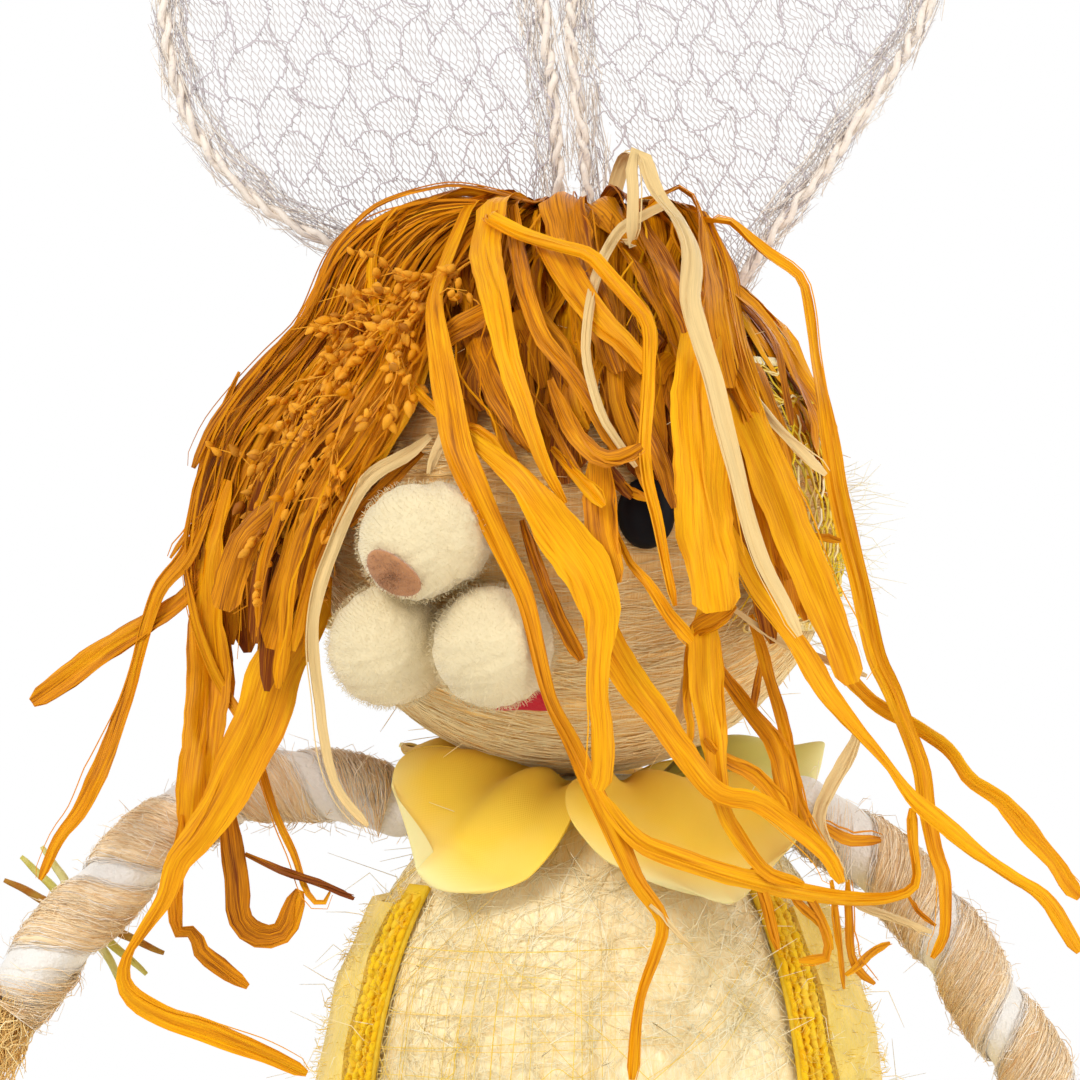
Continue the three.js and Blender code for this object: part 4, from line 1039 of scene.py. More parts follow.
class RABBIT_OT_head(bpy.types.Operator):
    """Head: sisal wound in nearly level circles over a ball"""

    bl_idname = "rabbit.head"
    bl_label = "Head"

    def execute(self, context):
        rng = np.random.default_rng(23)
        groove = np.random.default_rng(24)

        def bump(d):
            return 0.25 * ripple(d[..., 0] * 2, d[..., 2] * 26, groove, 6, 0.5, 1.4)

        rows, columns = 90, 120
        shape = ball(HEAD_AT, (HEAD_R - 0.5, HEAD_R - 0.5, HEAD_RISE - 0.5), rows, columns, bump)
        u = np.linspace(0, TURN * HEAD_R, columns + 1)
        v = np.linspace(0, np.pi * HEAD_R, rows)
        piece("head_skin", shape, "tan_combed", uv=wrapped_uv(u, v), stands_for=["head_cover"])

        count, long = HEAD_FIBRES, 8
        start = unit(rng.normal(size=(count, 3)))
        # The windings lie level above, and swing round below to lines that meet at the left and the right
        low = np.clip((0.05 - start[:, 2:]) / 0.5, 0, 1)
        swung = unit(np.cross([1.0, 0, 0], start))
        swung = swung * np.where(swung[:, 2:] > 0, 1, -1)
        axis = unit((1 - low) * [0, 0, 1] + low * swung + rng.normal(0, 0.13, (count, 3)))
        level = (start * axis).sum(-1, keepdims=True)
        ring = start - level * axis
        sweep = rng.uniform(0.25, 0.75, (count, 1)) / np.linalg.norm(ring, axis=1, keepdims=True).clip(0.3)
        turn = (sweep * np.linspace(-0.9, 0.9, long))[..., None]
        level = level[:, None] + 0.02 * wander(rng, count, long)[..., None]
        aside = np.cross(axis, ring)[:, None]
        d = unit(level * axis[:, None] + ring[:, None] * np.cos(turn) + aside * np.sin(turn))
        lift = rng.uniform(-0.1, 0.45, (count, 1)) + 0.15 * wander(rng, count, long)
        paths = HEAD_AT + d * (np.array([HEAD_R, HEAD_R, HEAD_RISE]) + lift[..., None])
        shape = fibres(paths, rng.uniform(0.6, 1.25, count) * sizes().fibre)
        # Painted light in the tone: shine adds bands of painted sheen, and low lightens the underside by the
        # chin.
        shine = ripple(start[:, 0] * 1.5, start[:, 2] * 9, groove, 6, 0.5, 1.4)
        tone = np.clip(rng.normal(0.62, 0.15, count) + 0.13 * shine + 0.32 * low[:, 0], 0, 1)
        piece("head_fibres", shape, "tan_fibres", tone=each(tone, shape))

        d = sphere_spread(HEAD_STRAYS) + rng.normal(0, 0.04, (HEAD_STRAYS, 3))
        d = unit(d[d[:, 2] > -0.93])
        count = len(d)
        roots = HEAD_AT + d * [HEAD_R, HEAD_R, HEAD_RISE]
        side = unit(np.cross(d, [0, 0, 1]) + rng.normal(0, 0.35, (count, 3)))
        side = side * rng.choice([-1, 1], (count, 1))
        t = np.linspace(0, 1, 6)[None, :, None]
        rise = rng.uniform(0.8, 4.2, (count, 1, 1))
        reach = rng.uniform(4, 13, (count, 1, 1))
        paths = roots[:, None] + side[:, None] * t * reach + d[:, None] * rise * t ** 1.4
        shape = fibres(paths, 0.8 * sizes().fibre)
        piece("head_strays", shape, "tan_fibres", tone=each(rng.uniform(0.5, 1, count), shape))
        return {"FINISHED"}


# Face

CHEEK_R, CHEEK_SPREAD, CHEEK_DROP = 12.7, 11.6, 26.0
CHEEK_SWELL = 0.6  # the cheeks bulge where they press on each other
NOSE_R, NOSE_YAW, NOSE_DROP, NOSE_OUT = 12.7, 28.3, 4.0, 1.8
LOBE_R, LOBE_YAW, LOBE_RISE = 11.5, 3.6, 1.5
NOSE_TIP_YAW, NOSE_TIP_PITCH, NOSE_TIP_HALF, NOSE_TIP_LEAN = 25.0, -31.0, (7.0, 4.3), -45.0
EYE_SPREAD, EYE_RISE, EYE_HALF = 41.1, 2.2, (6.3, 7.6, 3.4)
TONGUE_YAW, TONGUE_DROP, TONGUE_HALF = 17.0, 36.5, 3.6
NOSE_HAIRS, CHEEK_HAIRS, NOSE_TIP_HAIRS = 3200, 2500, 700


def face_balls():
    """Middles and radii of the nose, its lobe and the two cheeks."""
    nose = beside_head(-NOSE_YAW, -NOSE_DROP, NOSE_R + NOSE_OUT)
    lobe = beside_head(-NOSE_YAW + LOBE_YAW, LOBE_RISE - NOSE_DROP, LOBE_R + 0.3)
    balls = [(nose, NOSE_R), (lobe, LOBE_R)]
    for side in (-1, 1):
        centre = beside_head(-FACE_YAW + side * CHEEK_SPREAD, -CHEEK_DROP, CHEEK_R + 0.3)
        balls.append((centre - [side * CHEEK_SWELL, 0, 0], CHEEK_R + CHEEK_SWELL))
    return balls


def pompom(rng, name, balls, stands_for, hairs):
    """A ball of teased cotton: lumpy felt under short curly hairs; several balls share one piece."""
    lump = np.random.default_rng(5)
    shapes, roots, normals = [], [], []
    for centre, radius in balls:
        shapes.append(ball(centre, [radius - 0.5] * 3, 56, 72, lambda d: 0.25 * ripple(
            d[..., 0] * 3 + d[..., 1], d[..., 2] * 3 - d[..., 1], lump, 6, 0.5, 1.6)))
        d = sphere_spread(hairs // len(balls))
        clear = np.ones(len(d), bool)
        for other, reach in balls:
            if other is not centre:
                clear &= np.linalg.norm(centre + d * radius - other, axis=1) > reach
        roots.append(centre + d[clear] * (radius - 0.4))
        normals.append(d[clear])
    piece(name, joined(*shapes), "cotton", stands_for=[stands_for])
    roots, normals = np.concatenate(roots), np.concatenate(normals)
    shape = fuzz(rng, roots, unit(normals + rng.normal(0, 0.3, normals.shape)), 1.1, 0.055)
    piece(name + "_hair", shape, "cotton_hair", tone=each(rng.random(len(roots)), shape))


def patch(centre, radii, direction, halves, lean, thick, rows=16, around=64, lift=0.35):
    """A felt patch on an ellipsoid: an oval or other outline about a direction, pushed out to the surface.

    halves is two half widths, or a function of the turn round the patch that gives its reach."""
    direction = unit(np.asarray(direction, float))
    side = unit(np.cross([0, 0, 1], direction))
    over = np.cross(direction, side)
    turn = (TURN * np.arange(around) / around)[None]
    share = np.concatenate([np.linspace(0.02, 1, rows), [1.0]])[:, None]
    reach = halves(turn) if callable(halves) else halves[0] * halves[1] / np.sqrt(
        (halves[1] * np.cos(turn)) ** 2 + (halves[0] * np.sin(turn)) ** 2)
    a = turn + math.radians(lean)
    flat = (share * reach * np.cos(a))[..., None] * side + (share * reach * np.sin(a))[..., None] * over
    radii = np.asarray(radii, float)
    mean = 1 / np.linalg.norm(direction / radii)
    d = unit(direction * mean + flat)
    high = np.where(np.arange(rows + 1)[:, None] < rows, thick, 0) * np.clip((1 - share) * 6 + 0.55, 0, 1)
    reach = 1 / np.linalg.norm(d / radii, axis=-1) + lift + high
    reach[-1] = reach[-1] - 0.2
    rings = centre + d * reach[..., None]
    below = centre + d[::-1][1:] * (1 / np.linalg.norm(d[::-1][1:] / radii, axis=-1) + lift)[..., None]
    return tubes(np.concatenate([below[::-1][:1], rings[::-1], below[-1:]])[None])


class RABBIT_OT_face(bpy.types.Operator):
    """Face: cotton pompoms, a felt nose, glossy eyes and a felt tongue"""

    bl_idname = "rabbit.face"
    bl_label = "Face"

    def execute(self, context):
        rng = np.random.default_rng(31)
        nose, lobe, *cheeks = face_balls()
        pompom(rng, "nose_pompom_felt", [nose, lobe], "nose_pompom", NOSE_HAIRS)
        for side, name, cheek in ((-1, "left", cheeks[0]), (1, "right", cheeks[1])):
            pompom(rng, "cheek_felt_" + name, [cheek], "cheek_" + name, CHEEK_HAIRS)
            yaw = -FACE_YAW + side * EYE_SPREAD
            at = beside_head(yaw, EYE_RISE, 0.6)
            points, faces = ball((0, 0, 0), (EYE_HALF[0], EYE_HALF[2], EYE_HALF[1]), 48, 64)
            piece("eye_bead_" + name, (stood(points, yaw, at), faces), "eye",
                  stands_for=["eye_" + name])
        pitch = math.radians(NOSE_TIP_PITCH)
        facing = bearing(-NOSE_TIP_YAW) * math.cos(pitch) + [0, 0, math.sin(pitch)]
        tip = patch(nose[0], [NOSE_R] * 3, facing, NOSE_TIP_HALF, NOSE_TIP_LEAN, 1.1)
        piece("nose_tip_felt", tip, "nose_felt", stands_for=["nose_tip"])
        roots = tip[0][rng.integers(0, len(tip[0]), NOSE_TIP_HAIRS)]
        shape = fuzz(rng, roots, unit(roots - nose[0]), 0.8, 0.05)
        piece("nose_tip_hair", shape, "nose_felt")
        lip = beside_head(-TONGUE_YAW, -TONGUE_DROP, 0)

        def triangle(turn):
            corner = (turn + np.pi / 2 + np.pi / 3) % (TURN / 3) - np.pi / 3
            return TONGUE_HALF / np.maximum(np.cos(corner), 0.52) * (1 + 0.25 * np.cos(turn) ** 2)

        shape = patch(HEAD_AT, (HEAD_R, HEAD_R, HEAD_RISE), lip - HEAD_AT, triangle, 0, 1.3)
        piece("tongue_felt", shape, "tongue_felt", stands_for=["tongue"])
        return {"FINISHED"}


# Mop of raffia

VIEW_STEP = 0.222  # millimetres to one unit of the front view's grid, at the middle of the figure
VIEW_MIDDLE, VIEW_LEVEL, VIEW_BASE = 600.0, 772.0, 150.3  # the unit at x = 0, and the unit at a height
CROWN_ROW = 262.0  # a strip that starts above this row springs from the crown
CROWN_Z = HEAD_AT[2] + HEAD_RISE
UNDYED = 2.0
OVER_FACE = 13.0  # strips that stand off this far pass in front of the pompoms
KNOT_STRIPS = 46

# Strips that show from the front: tone, lift off the head, widths along the strip and its route, given as
# pairs on the front view's grid, x to the right and the second number downwards
LEFT_STRIPS = [
    (.30, 9, (12, 12, 11), [533, 203, 500, 193, 455, 185, 430, 188, 377, 206, 352, 228, 332, 253, 303, 322,
     269, 356, 246, 381, 225, 407, 210, 429, 193, 468]),
    (.48, 7, (14, 22, 13), [440, 196, 402, 215, 386, 240, 362, 268, 336, 294, 294, 336, 262, 372]),
    (.35, 10, (26, 33, 34), [360, 400, 319, 441, 278, 508, 245, 541, 222, 610]),
    (.60, 12, (30, 38, 43, 45, 43, 40, 20), [228, 480, 211, 549, 206, 619, 210, 669, 204, 728, 198, 777,
     192, 837, 178, 868]),
    (.70, 13, (30, 44, 54, 55, 44, 31, 19, 8, 22, 24, 20, 12), [326, 575, 307, 619, 277, 669, 257, 728, 228,
     787, 198, 837, 177, 862, 165, 897, 142, 932, 127, 956, 123, 980, 132, 996, 165, 1017, 201, 1029, 236,
     1043, 271, 1057, 307, 1074]),
    (.45, 12, (8, 14, 16, 12, 20, 12), [182, 815, 175, 904, 179, 932, 193, 932, 201, 951, 224, 970, 248,
     987]),
    (.55, 9, (10, 15, 15, 9), [276, 520, 270, 574, 265, 615, 265, 660]),
    (.52, 10, (10, 20, 15, 12, 16, 22, 14, 8), [215, 500, 184, 560, 162, 586, 149, 619, 139, 655, 127, 698,
     113, 738, 99, 774, 79, 813, 60, 837, 40, 880]),
    (.50, 8, (14, 18, 24, 26, 20), [232, 540, 182, 600, 139, 629, 109, 647, 60, 683, 32, 703]),
    (.36, 14, (16, 24, 26, 20), [226, 790, 229, 821, 236, 873, 243, 923, 260, 936, 283, 932, 293, 909, 300,
     890]),
    (.02, 16, (8, 8, 7), [245, 854, 283, 871, 319, 883, 354, 899]),
    (.42, 8, (7, 7, 8), [240, 372, 228, 400, 211, 450, 197, 486, 190, 516, 185, 549, 192, 607, 200, 649]),
    (.55, 15, (9, 10, 9, 8, 5), [186, 570, 198, 629, 218, 679, 247, 728, 261, 768, 277, 817, 293, 852, 309,
     895, 322, 905, 330, 892]),
    (.50, 7, (9, 9, 7), [236, 462, 216, 499, 187, 533, 170, 558]),
    (.42, 8, (8, 9, 7), [248, 470, 226, 506, 198, 542, 182, 566]),
    (.15, 9, (12, 22, 26, 20), [304, 520, 300, 560, 296, 610, 286, 660, 262, 720]),
    (.38, 9, (10, 16, 18, 12), [330, 470, 312, 540, 306, 590, 300, 640]),
    (UNDYED, 11, (15, 14, 13, 12, 10, 8), [430, 436, 410, 453, 369, 478, 346, 516, 333, 549, 319, 591, 313,
     632, 319, 698, 330, 768, 342, 796, 368, 826]),
    (UNDYED, 8, (8, 14, 12, 7), [462, 396, 452, 420, 436, 452, 428, 474]),
    (.30, 9, (14, 14, 12), [422, 452, 402, 470, 377, 495, 349, 526]),
    (.40, 8, (16, 24, 24, 20), [396, 392, 430, 350, 462, 326, 494, 310]),
]
FRONT_STRIPS = [
    (.72, 10, (20, 23, 16, 10, 10, 12), [392, 214, 382, 228, 372, 253, 371, 286, 378, 319, 390, 348, 404,
     374, 424, 399, 448, 420, 484, 434, 503, 455]),
    (.82, 20, (8, 20, 27, 44, 50, 40, 22, 20, 22, 20), [462, 425, 475, 441, 516, 475, 541, 508, 566, 541,
     588, 574, 602, 612, 600, 640, 598, 689, 602, 729, 602, 778, 598, 790]),
    (.58, 13, (30, 26, 17, 14, 14, 22, 28, 30, 22, 16, 14, 18, 20, 14, 9, 12), [470, 206, 455, 240, 441,
     275, 434, 303, 440, 352, 449, 400, 459, 451, 473, 484, 489, 520, 508, 560, 526, 600, 550, 699, 570,
     739, 586, 774, 617, 838, 637, 881, 663, 921, 657, 950, 640, 1000, 632, 1080]),
    (.80, 15, (24, 28, 32, 32, 26, 20, 8), [492, 204, 486, 250, 496, 300, 510, 366, 522, 401, 533, 434, 549,
     475, 566, 503]),
    (.74, 17, (9, 12, 15, 16, 15, 16, 14, 12, 10, 8), [490, 218, 522, 234, 558, 245, 590, 255, 610, 276,
     630, 299, 647, 322, 649, 368, 647, 407, 645, 448, 649, 484, 657, 516, 665, 558, 675, 606]),
    (.34, 12, (12, 15, 18, 14), [512, 206, 518, 253, 528, 300, 542, 336, 575, 379, 618, 451]),
    (.30, 10, (44, 46, 38, 26), [562, 200, 570, 240, 586, 290, 606, 334, 620, 372]),
    (.62, 12, (16, 28, 30, 20), [552, 246, 574, 284, 604, 325, 626, 345, 645, 372]),
    (.38, 9, (26, 40, 38, 24), [600, 206, 628, 240, 655, 283, 678, 325, 690, 372]),
    (.20, 11, (20, 25, 24), [630, 196, 645, 228, 667, 270, 688, 319, 700, 356]),
    (.35, 14, (6, 8, 8), [536, 398, 549, 421, 574, 466, 601, 504]),
    (.26, 8, (20, 34, 36, 24), [474, 290, 484, 340, 500, 385, 520, 420, 536, 446]),
    (.40, 19, (12, 18, 18, 12), [550, 380, 560, 404, 578, 438, 602, 458, 621, 457, 642, 446]),
    (.50, 18, (28, 30, 30, 22), [598, 452, 599, 480, 600, 520, 606, 552, 616, 584]),
    (.82, 21, (12, 10, 13, 12), [552, 448, 566, 464, 584, 484, 604, 506]),
    (.60, 21, (9, 10, 8), [616, 476, 622, 486, 650, 500]),
    (.24, 15, (12, 18, 18, 10), [634, 404, 650, 436, 664, 470, 674, 508]),
    (.40, 15, (10, 14, 14, 8), [646, 424, 640, 452, 646, 480, 656, 504]),
    (.16, 15, (12, 14, 10), [598, 452, 612, 474, 632, 498]),
    (.22, 17, (11, 14, 14), [522, 520, 534, 556, 549, 596, 566, 632, 582, 660]),
    (.66, 20, (4, 8, 12, 15), [612, 516, 617, 533, 632, 566, 645, 579, 670, 616, 692, 642]),
    (.70, 19, (24, 32, 26, 20, 18, 14), [592, 600, 608, 640, 633, 683, 657, 715, 683, 751, 719, 794, 759,
     802, 798, 830, 828, 857, 842, 883]),
    (.60, 16, (12, 16, 16), [706, 738, 719, 755, 759, 778, 786, 814]),
    (.82, 15, (26, 40, 54, 56, 54, 48), [706, 270, 702, 320, 698, 380, 700, 440, 704, 520, 712, 570, 718,
     612]),
    (.45, 19, (8, 22, 20, 6), [683, 640, 696, 630, 720, 616, 736, 606]),
    (.76, 17, (26, 36, 30, 20, 16, 14, 12), [704, 606, 705, 640, 707, 689, 713, 729, 717, 768, 723, 808,
     739, 838, 768, 873, 804, 885]),
    (.68, 18, (8, 8, 7), [690, 630, 688, 660, 687, 700, 691, 729, 685, 759]),
    (UNDYED, 20, (9, 11, 9), [694, 650, 688, 681, 678, 723]),
    (UNDYED, 13, (12, 11, 10, 8), [663, 206, 645, 215, 621, 229, 604, 256, 594, 286, 587, 325, 586, 352,
     593, 388, 604, 420, 626, 453, 636, 467]),
    (UNDYED, 16, (12, 13, 12), [632, 240, 633, 190, 632, 160, 640, 145, 650, 170, 660, 195]),
    (UNDYED, 19, (8, 16, 18, 20, 23, 21, 18, 15, 12), [645, 160, 659, 196, 681, 223, 692, 250, 691, 300,
     701, 338, 712, 374, 723, 420, 734, 462, 746, 510, 762, 560, 786, 607, 800, 636]),
    (.80, 22, (5, 16, 20, 20, 19, 18, 14, 10, 9, 12), [590, 779, 617, 818, 640, 842, 680, 859, 739, 877,
     798, 891, 857, 899, 893, 897, 915, 885, 913, 838, 912, 808]),
    (UNDYED, 16, (7, 6, 4), [650, 905, 663, 917, 692, 950]),
]
RIGHT_STRIPS = [
    (.42, 12, (14, 20, 22), [640, 216, 658, 200, 676, 187, 692, 196, 702, 220, 706, 253, 713, 286, 716, 319,
     722, 352, 730, 388]),
    (.48, 10, (18, 20, 18), [712, 300, 720, 344, 744, 394, 761, 430, 776, 462]),
    (.74, 12, (30, 40, 44, 42, 38, 34, 28), [728, 360, 744, 408, 761, 450, 778, 491, 794, 533, 807, 566,
     824, 607, 844, 657, 852, 684]),
    (.78, 14, (17, 17, 16, 17, 24, 18, 12, 8, 16, 18, 12, 12, 17, 16), [726, 520, 753, 582, 778, 616, 802,
     649, 828, 693, 857, 729, 887, 763, 913, 798, 943, 823, 975, 850, 1012, 876, 1045, 898, 1080, 952]),
    (.74, 12, (14, 16, 15, 14, 14, 16, 24, 19, 18), [828, 650, 844, 672, 877, 705, 917, 727, 950, 751, 971,
     780, 1003, 802, 1030, 835, 1053, 860, 1067, 882, 1080, 898]),
    (.70, 9, (7, 12, 20, 23, 17, 14, 18, 22, 21, 20, 20, 18, 17, 14, 10), [705, 221, 728, 221, 746, 236,
     769, 256, 799, 278, 807, 303, 812, 336, 817, 369, 829, 441, 837, 491, 846, 533, 859, 582, 877, 660,
     891, 689, 907, 729, 921, 768, 927, 808, 937, 857, 943, 872, 945, 909, 943, 937, 932, 958]),
    (.20, 11, (8, 10, 8), [716, 290, 746, 304, 763, 323, 776, 344, 783, 377, 792, 425]),
    (.40, 11, (8, 8, 8), [796, 529, 804, 533, 841, 541]),
    (UNDYED, 15, (12, 12, 10), [752, 390, 761, 408, 795, 445, 826, 475]),
    (.45, 12, (12, 14, 18, 20, 18), [716, 660, 727, 680, 751, 713, 774, 743, 784, 778, 790, 818, 792, 830]),
    (.58, 13, (12, 12, 13, 12), [750, 615, 759, 640, 770, 680, 782, 719, 790, 759, 800, 808, 824, 857]),
    (.35, 14, (8, 8, 7), [762, 655, 759, 674, 751, 719]),
    (.50, 12, (12, 12, 10), [818, 822, 830, 830, 848, 840, 881, 840]),
    (.55, 14, (10, 10, 9), [800, 885, 814, 906, 827, 937, 827, 956, 799, 961]),
    (.62, 12, (6, 6, 5), [832, 880, 836, 909, 840, 946, 844, 989]),
    (.50, 13, (9, 9, 8), [848, 880, 849, 909, 853, 961, 864, 976, 875, 984]),
    (.66, 15, (9, 9, 7), [846, 975, 855, 969, 873, 952, 890, 943]),
    (.48, 15, (12, 12, 9), [752, 868, 763, 893, 778, 950]),
    (.52, 14, (10, 9, 8), [786, 880, 798, 903, 824, 927, 832, 950]),
    (UNDYED, 15, (7, 7, 7), [730, 606, 761, 629, 786, 645, 819, 657, 867, 676]),
    (UNDYED, 16, (16, 15, 13, 11, 10), [858, 730, 854, 745, 830, 788, 818, 818, 830, 857, 844, 883]),
    (UNDYED, 15, (9, 9, 8), [850, 900, 857, 905, 897, 919, 932, 932]),
    (.40, 13, (7, 6, 5), [908, 895, 918, 911, 936, 926]),
]

# Edges between which the rest of each lock flows, on the same grid, from the crown downwards
LEFT_EDGES = (
    [478, 200, 405, 204, 345, 244, 303, 326, 250, 388, 216, 440, 200, 500, 194, 560, 200, 630, 216, 700],
    [500, 215, 474, 240, 446, 300, 420, 370, 392, 430, 360, 480, 336, 530, 318, 580, 304, 640, 290, 700],
)
FRINGE_EDGES = ([478, 212, 452, 262, 447, 330, 460, 400, 484, 450, 510, 500],
                [672, 215, 690, 262, 700, 330, 704, 400, 706, 450, 708, 500])
RIGHT_EDGES = ([668, 208, 694, 262, 704, 330, 712, 400, 720, 470, 728, 540, 740, 610, 756, 680],
               [708, 214, 728, 262, 742, 330, 764, 400, 786, 470, 804, 540, 820, 610, 838, 680])


def on_sight(points, y):
    """Points of the front view's grid carried along their lines of sight to depths y."""
    x = (points[:, 0] - VIEW_MIDDLE) * VIEW_STEP
    z = VIEW_BASE + (VIEW_LEVEL - points[:, 1]) * VIEW_STEP
    flat = np.stack([x, 0 * x, z], -1)
    return CAMERA_AT + (flat - CAMERA_AT) * ((y - CAMERA_AT[1]) / -CAMERA_AT[1])[:, None]


def faced(route):
    """The way strips face along a route: out from the crown above, and forward where they hang free."""
    nothing = 0 * route[:, 0]
    middle = np.stack([nothing + HEAD_AT[0], nothing, np.minimum(route[:, 2], CROWN_Z - 13)], -1)
    out = unit(route - middle)
    free = np.clip((HEAD_AT[2] - route[:, 2]) / 30, 0, 1)[:, None]
    front = np.clip((CROWN_Z + 12 - route[:, 2]) / 22, 0, 1)[:, None]
    return unit(out * (1 - 0.8 * free) + front * np.array([0, -1.1, 0.1]))


def before_face(start, y):
    """Depths brought in front of the pompoms, from 4 points before a strip meets one to 4 points after."""
    way = unit(start - CAMERA_AT)
    for centre, radius in face_balls():
        away = CAMERA_AT - centre
        b = way @ away
        found = b ** 2 - away @ away + (radius + 1.4) ** 2
        front = np.where(found > 0, CAMERA_AT[1] - (b + np.sqrt(np.clip(found, 0, None))) * way[:, 1], 0)
        y = np.minimum(y, np.lib.stride_tricks.sliding_window_view(np.pad(front, 4, "edge"), 9).min(-1))
    return y


def laid(points, lift, spacing=2.4):
    """A route of the front view laid on the mop, and the way it faces at each point.

    A point slides along its line of sight to the head grown by lift. Where the line misses the head the
    strip hangs free: it drifts back by a fiftieth of its run, and stays in front of the collar, torso and
    arms. A route from the crown starts behind it and arches over. Any other start is tucked in under its
    neighbours."""
    rough = np.reshape(points, (-1, 2)).astype(float)
    long = np.linalg.norm(np.diff(rough, axis=0), axis=1).sum() * VIEW_STEP
    flat = spline(np.c_[rough, np.zeros(len(rough))], max(8, int(long / spacing)))[:, :2]
    start = on_sight(flat, np.zeros(len(flat)))
    run = run_length(start)
    rooted = rough[0, 1] < CROWN_ROW
    height = lift * (np.ones(len(run)) if rooted else 0.3 + 0.7 * np.clip(run / 16, 0, 1))
    radii = np.array([HEAD_R, HEAD_R, HEAD_RISE]) + height[:, None]
    origin, way = (CAMERA_AT - HEAD_AT) / radii, unit(start - CAMERA_AT)
    a, b, c = ((way / radii) ** 2).sum(-1), (way / radii * origin).sum(-1), (origin ** 2).sum(-1) - 1
    found = b ** 2 - a * c
    y = np.where(found > 0, CAMERA_AT[1] - (b + np.sqrt(np.clip(found, 0, None))) / a * way[:, 1], np.nan)
    y[0] = -4 - 0.4 * lift if np.isnan(y[0]) else y[0]
    met = np.maximum.accumulate(np.where(np.isnan(y), 0, np.arange(len(y))))
    y = np.minimum.accumulate(y[met] - 0.02 * run) + 0.02 * run
    x, z = start[:, 0], start[:, 2]
    clear = -np.maximum(np.sqrt(np.clip(66.0 ** 2 - x ** 2, 0, None)), 15.0) - 0.25 * lift
    y = np.where(z < 160, np.minimum(y, clear), y)
    if lift >= OVER_FACE:
        y = before_face(start, y)
    wide = 4
    padded = np.concatenate([np.full(wide, y[0]), y, np.full(wide, y[-1])])
    route = on_sight(flat, np.convolve(padded, np.ones(2 * wide + 1) / (2 * wide + 1), "valid"))
    if rooted:
        root = np.array([HEAD_AT[0] + 0.3 * np.clip(route[0, 0] - HEAD_AT[0], -24, 24), 11, CROWN_Z - 1.5])
        top = [0.45 * root[0] + 0.55 * route[0, 0], 5, max(CROWN_Z + 3, route[0, 2] + 0.5)]
        route = spline(np.vstack([root, top, route]), len(route) + 8)
    return route, faced(route)


def shade_of(rng, tone, long, sway=0.08):
    return np.full(long, tone) if tone > 1.5 else tone + sway * wander(rng, 1, long)[0]


def plain_part(shape, tone):
    """A part of one tone whose coordinates are all zero."""
    return shape, np.zeros((len(shape[0]), 2)), np.full(len(shape[0]), tone)


def shown_strips(rng, strips):
    """The strips of a table, each with a split fibre beside it."""
    parts = []
    for tone, lift, widths, points in strips:
        route, facing = laid(points, lift)
        long = len(route)
        run = run_length(route)
        wide = np.interp(np.linspace(0, 1, long), np.linspace(0, 1, len(widths)), widths) * VIEW_STEP
        wide = wide * np.clip(0.5 + run / 14, 0, 1) * np.clip(0.5 + (run[-1] - run) / 4, 0, 1)
        across = 11 if wide.max() > 5 else 9 if wide.max() > 2.5 else 5
        shape, uv = strip(route, facing, wide, rng, across=across)
        parts.append((shape, uv, np.repeat(shade_of(rng, tone, long), 2 * across)))
        _, normal, side = frames(route, facing)
        t = np.linspace(0, 1, long)
        beside = (rng.uniform(-0.6, 0.6) + rng.normal(0, 0.7) * t ** 3) * wide
        beside = beside + 0.4 * wander(rng, 1, long)[0]
        path = route + side * beside[:, None] + normal * 0.5
        split = fibres(path[None], rng.uniform(0.16, 0.3))
        parts.append(plain_part(split, tone))
    return parts


def flow(rng, edges, count, until, lift, widths, tone, plain=0.0, late=0.25):
    """Strips between two edges: each keeps its share of the way across, with a little drift."""
    first, last = (spline(np.c_[np.reshape(e, (-1, 2)), np.zeros(len(e) // 2)], 60)[:, :2] for e in edges)
    parts = []
    shares = rng.permutation((np.arange(count) + rng.random(count)) / count)
    for share in shares:
        begin = 0 if rng.random() > late else rng.uniform(0.12, 0.4)
        t = np.linspace(begin, max(begin + 0.2, rng.uniform(*until)), 9)
        cross = np.clip(share + rng.normal(0, 0.14) * (t - begin), -0.04, 1.04) + 0.05 * wander(rng, 1, 9)[0]
        at = np.stack([np.interp(t, np.linspace(0, 1, 60), first[:, k]) * (1 - cross)
                       + np.interp(t, np.linspace(0, 1, 60), last[:, k]) * cross for k in (0, 1)], -1)
        route, facing = laid(at, rng.uniform(*lift), 3.0)
        shade = UNDYED if rng.random() < plain else float(np.clip(rng.normal(tone, 0.17), 0.02, 1))
        wide, long = rng.uniform(*widths), len(route)
        if wide < 1.1:
            parts.append(plain_part(fibres(route[None], wide / 2), shade))
            continue
        run = run_length(route)
        reach = wide * np.clip(0.5 + run / 14, 0, 1) * np.clip(0.3 + (run[-1] - run) / 6, 0, 1)
        shape, uv = strip(route, facing, reach, rng, across=5)
        parts.append((shape, uv, np.repeat(shade_of(rng, shade, long), 10)))
    return parts


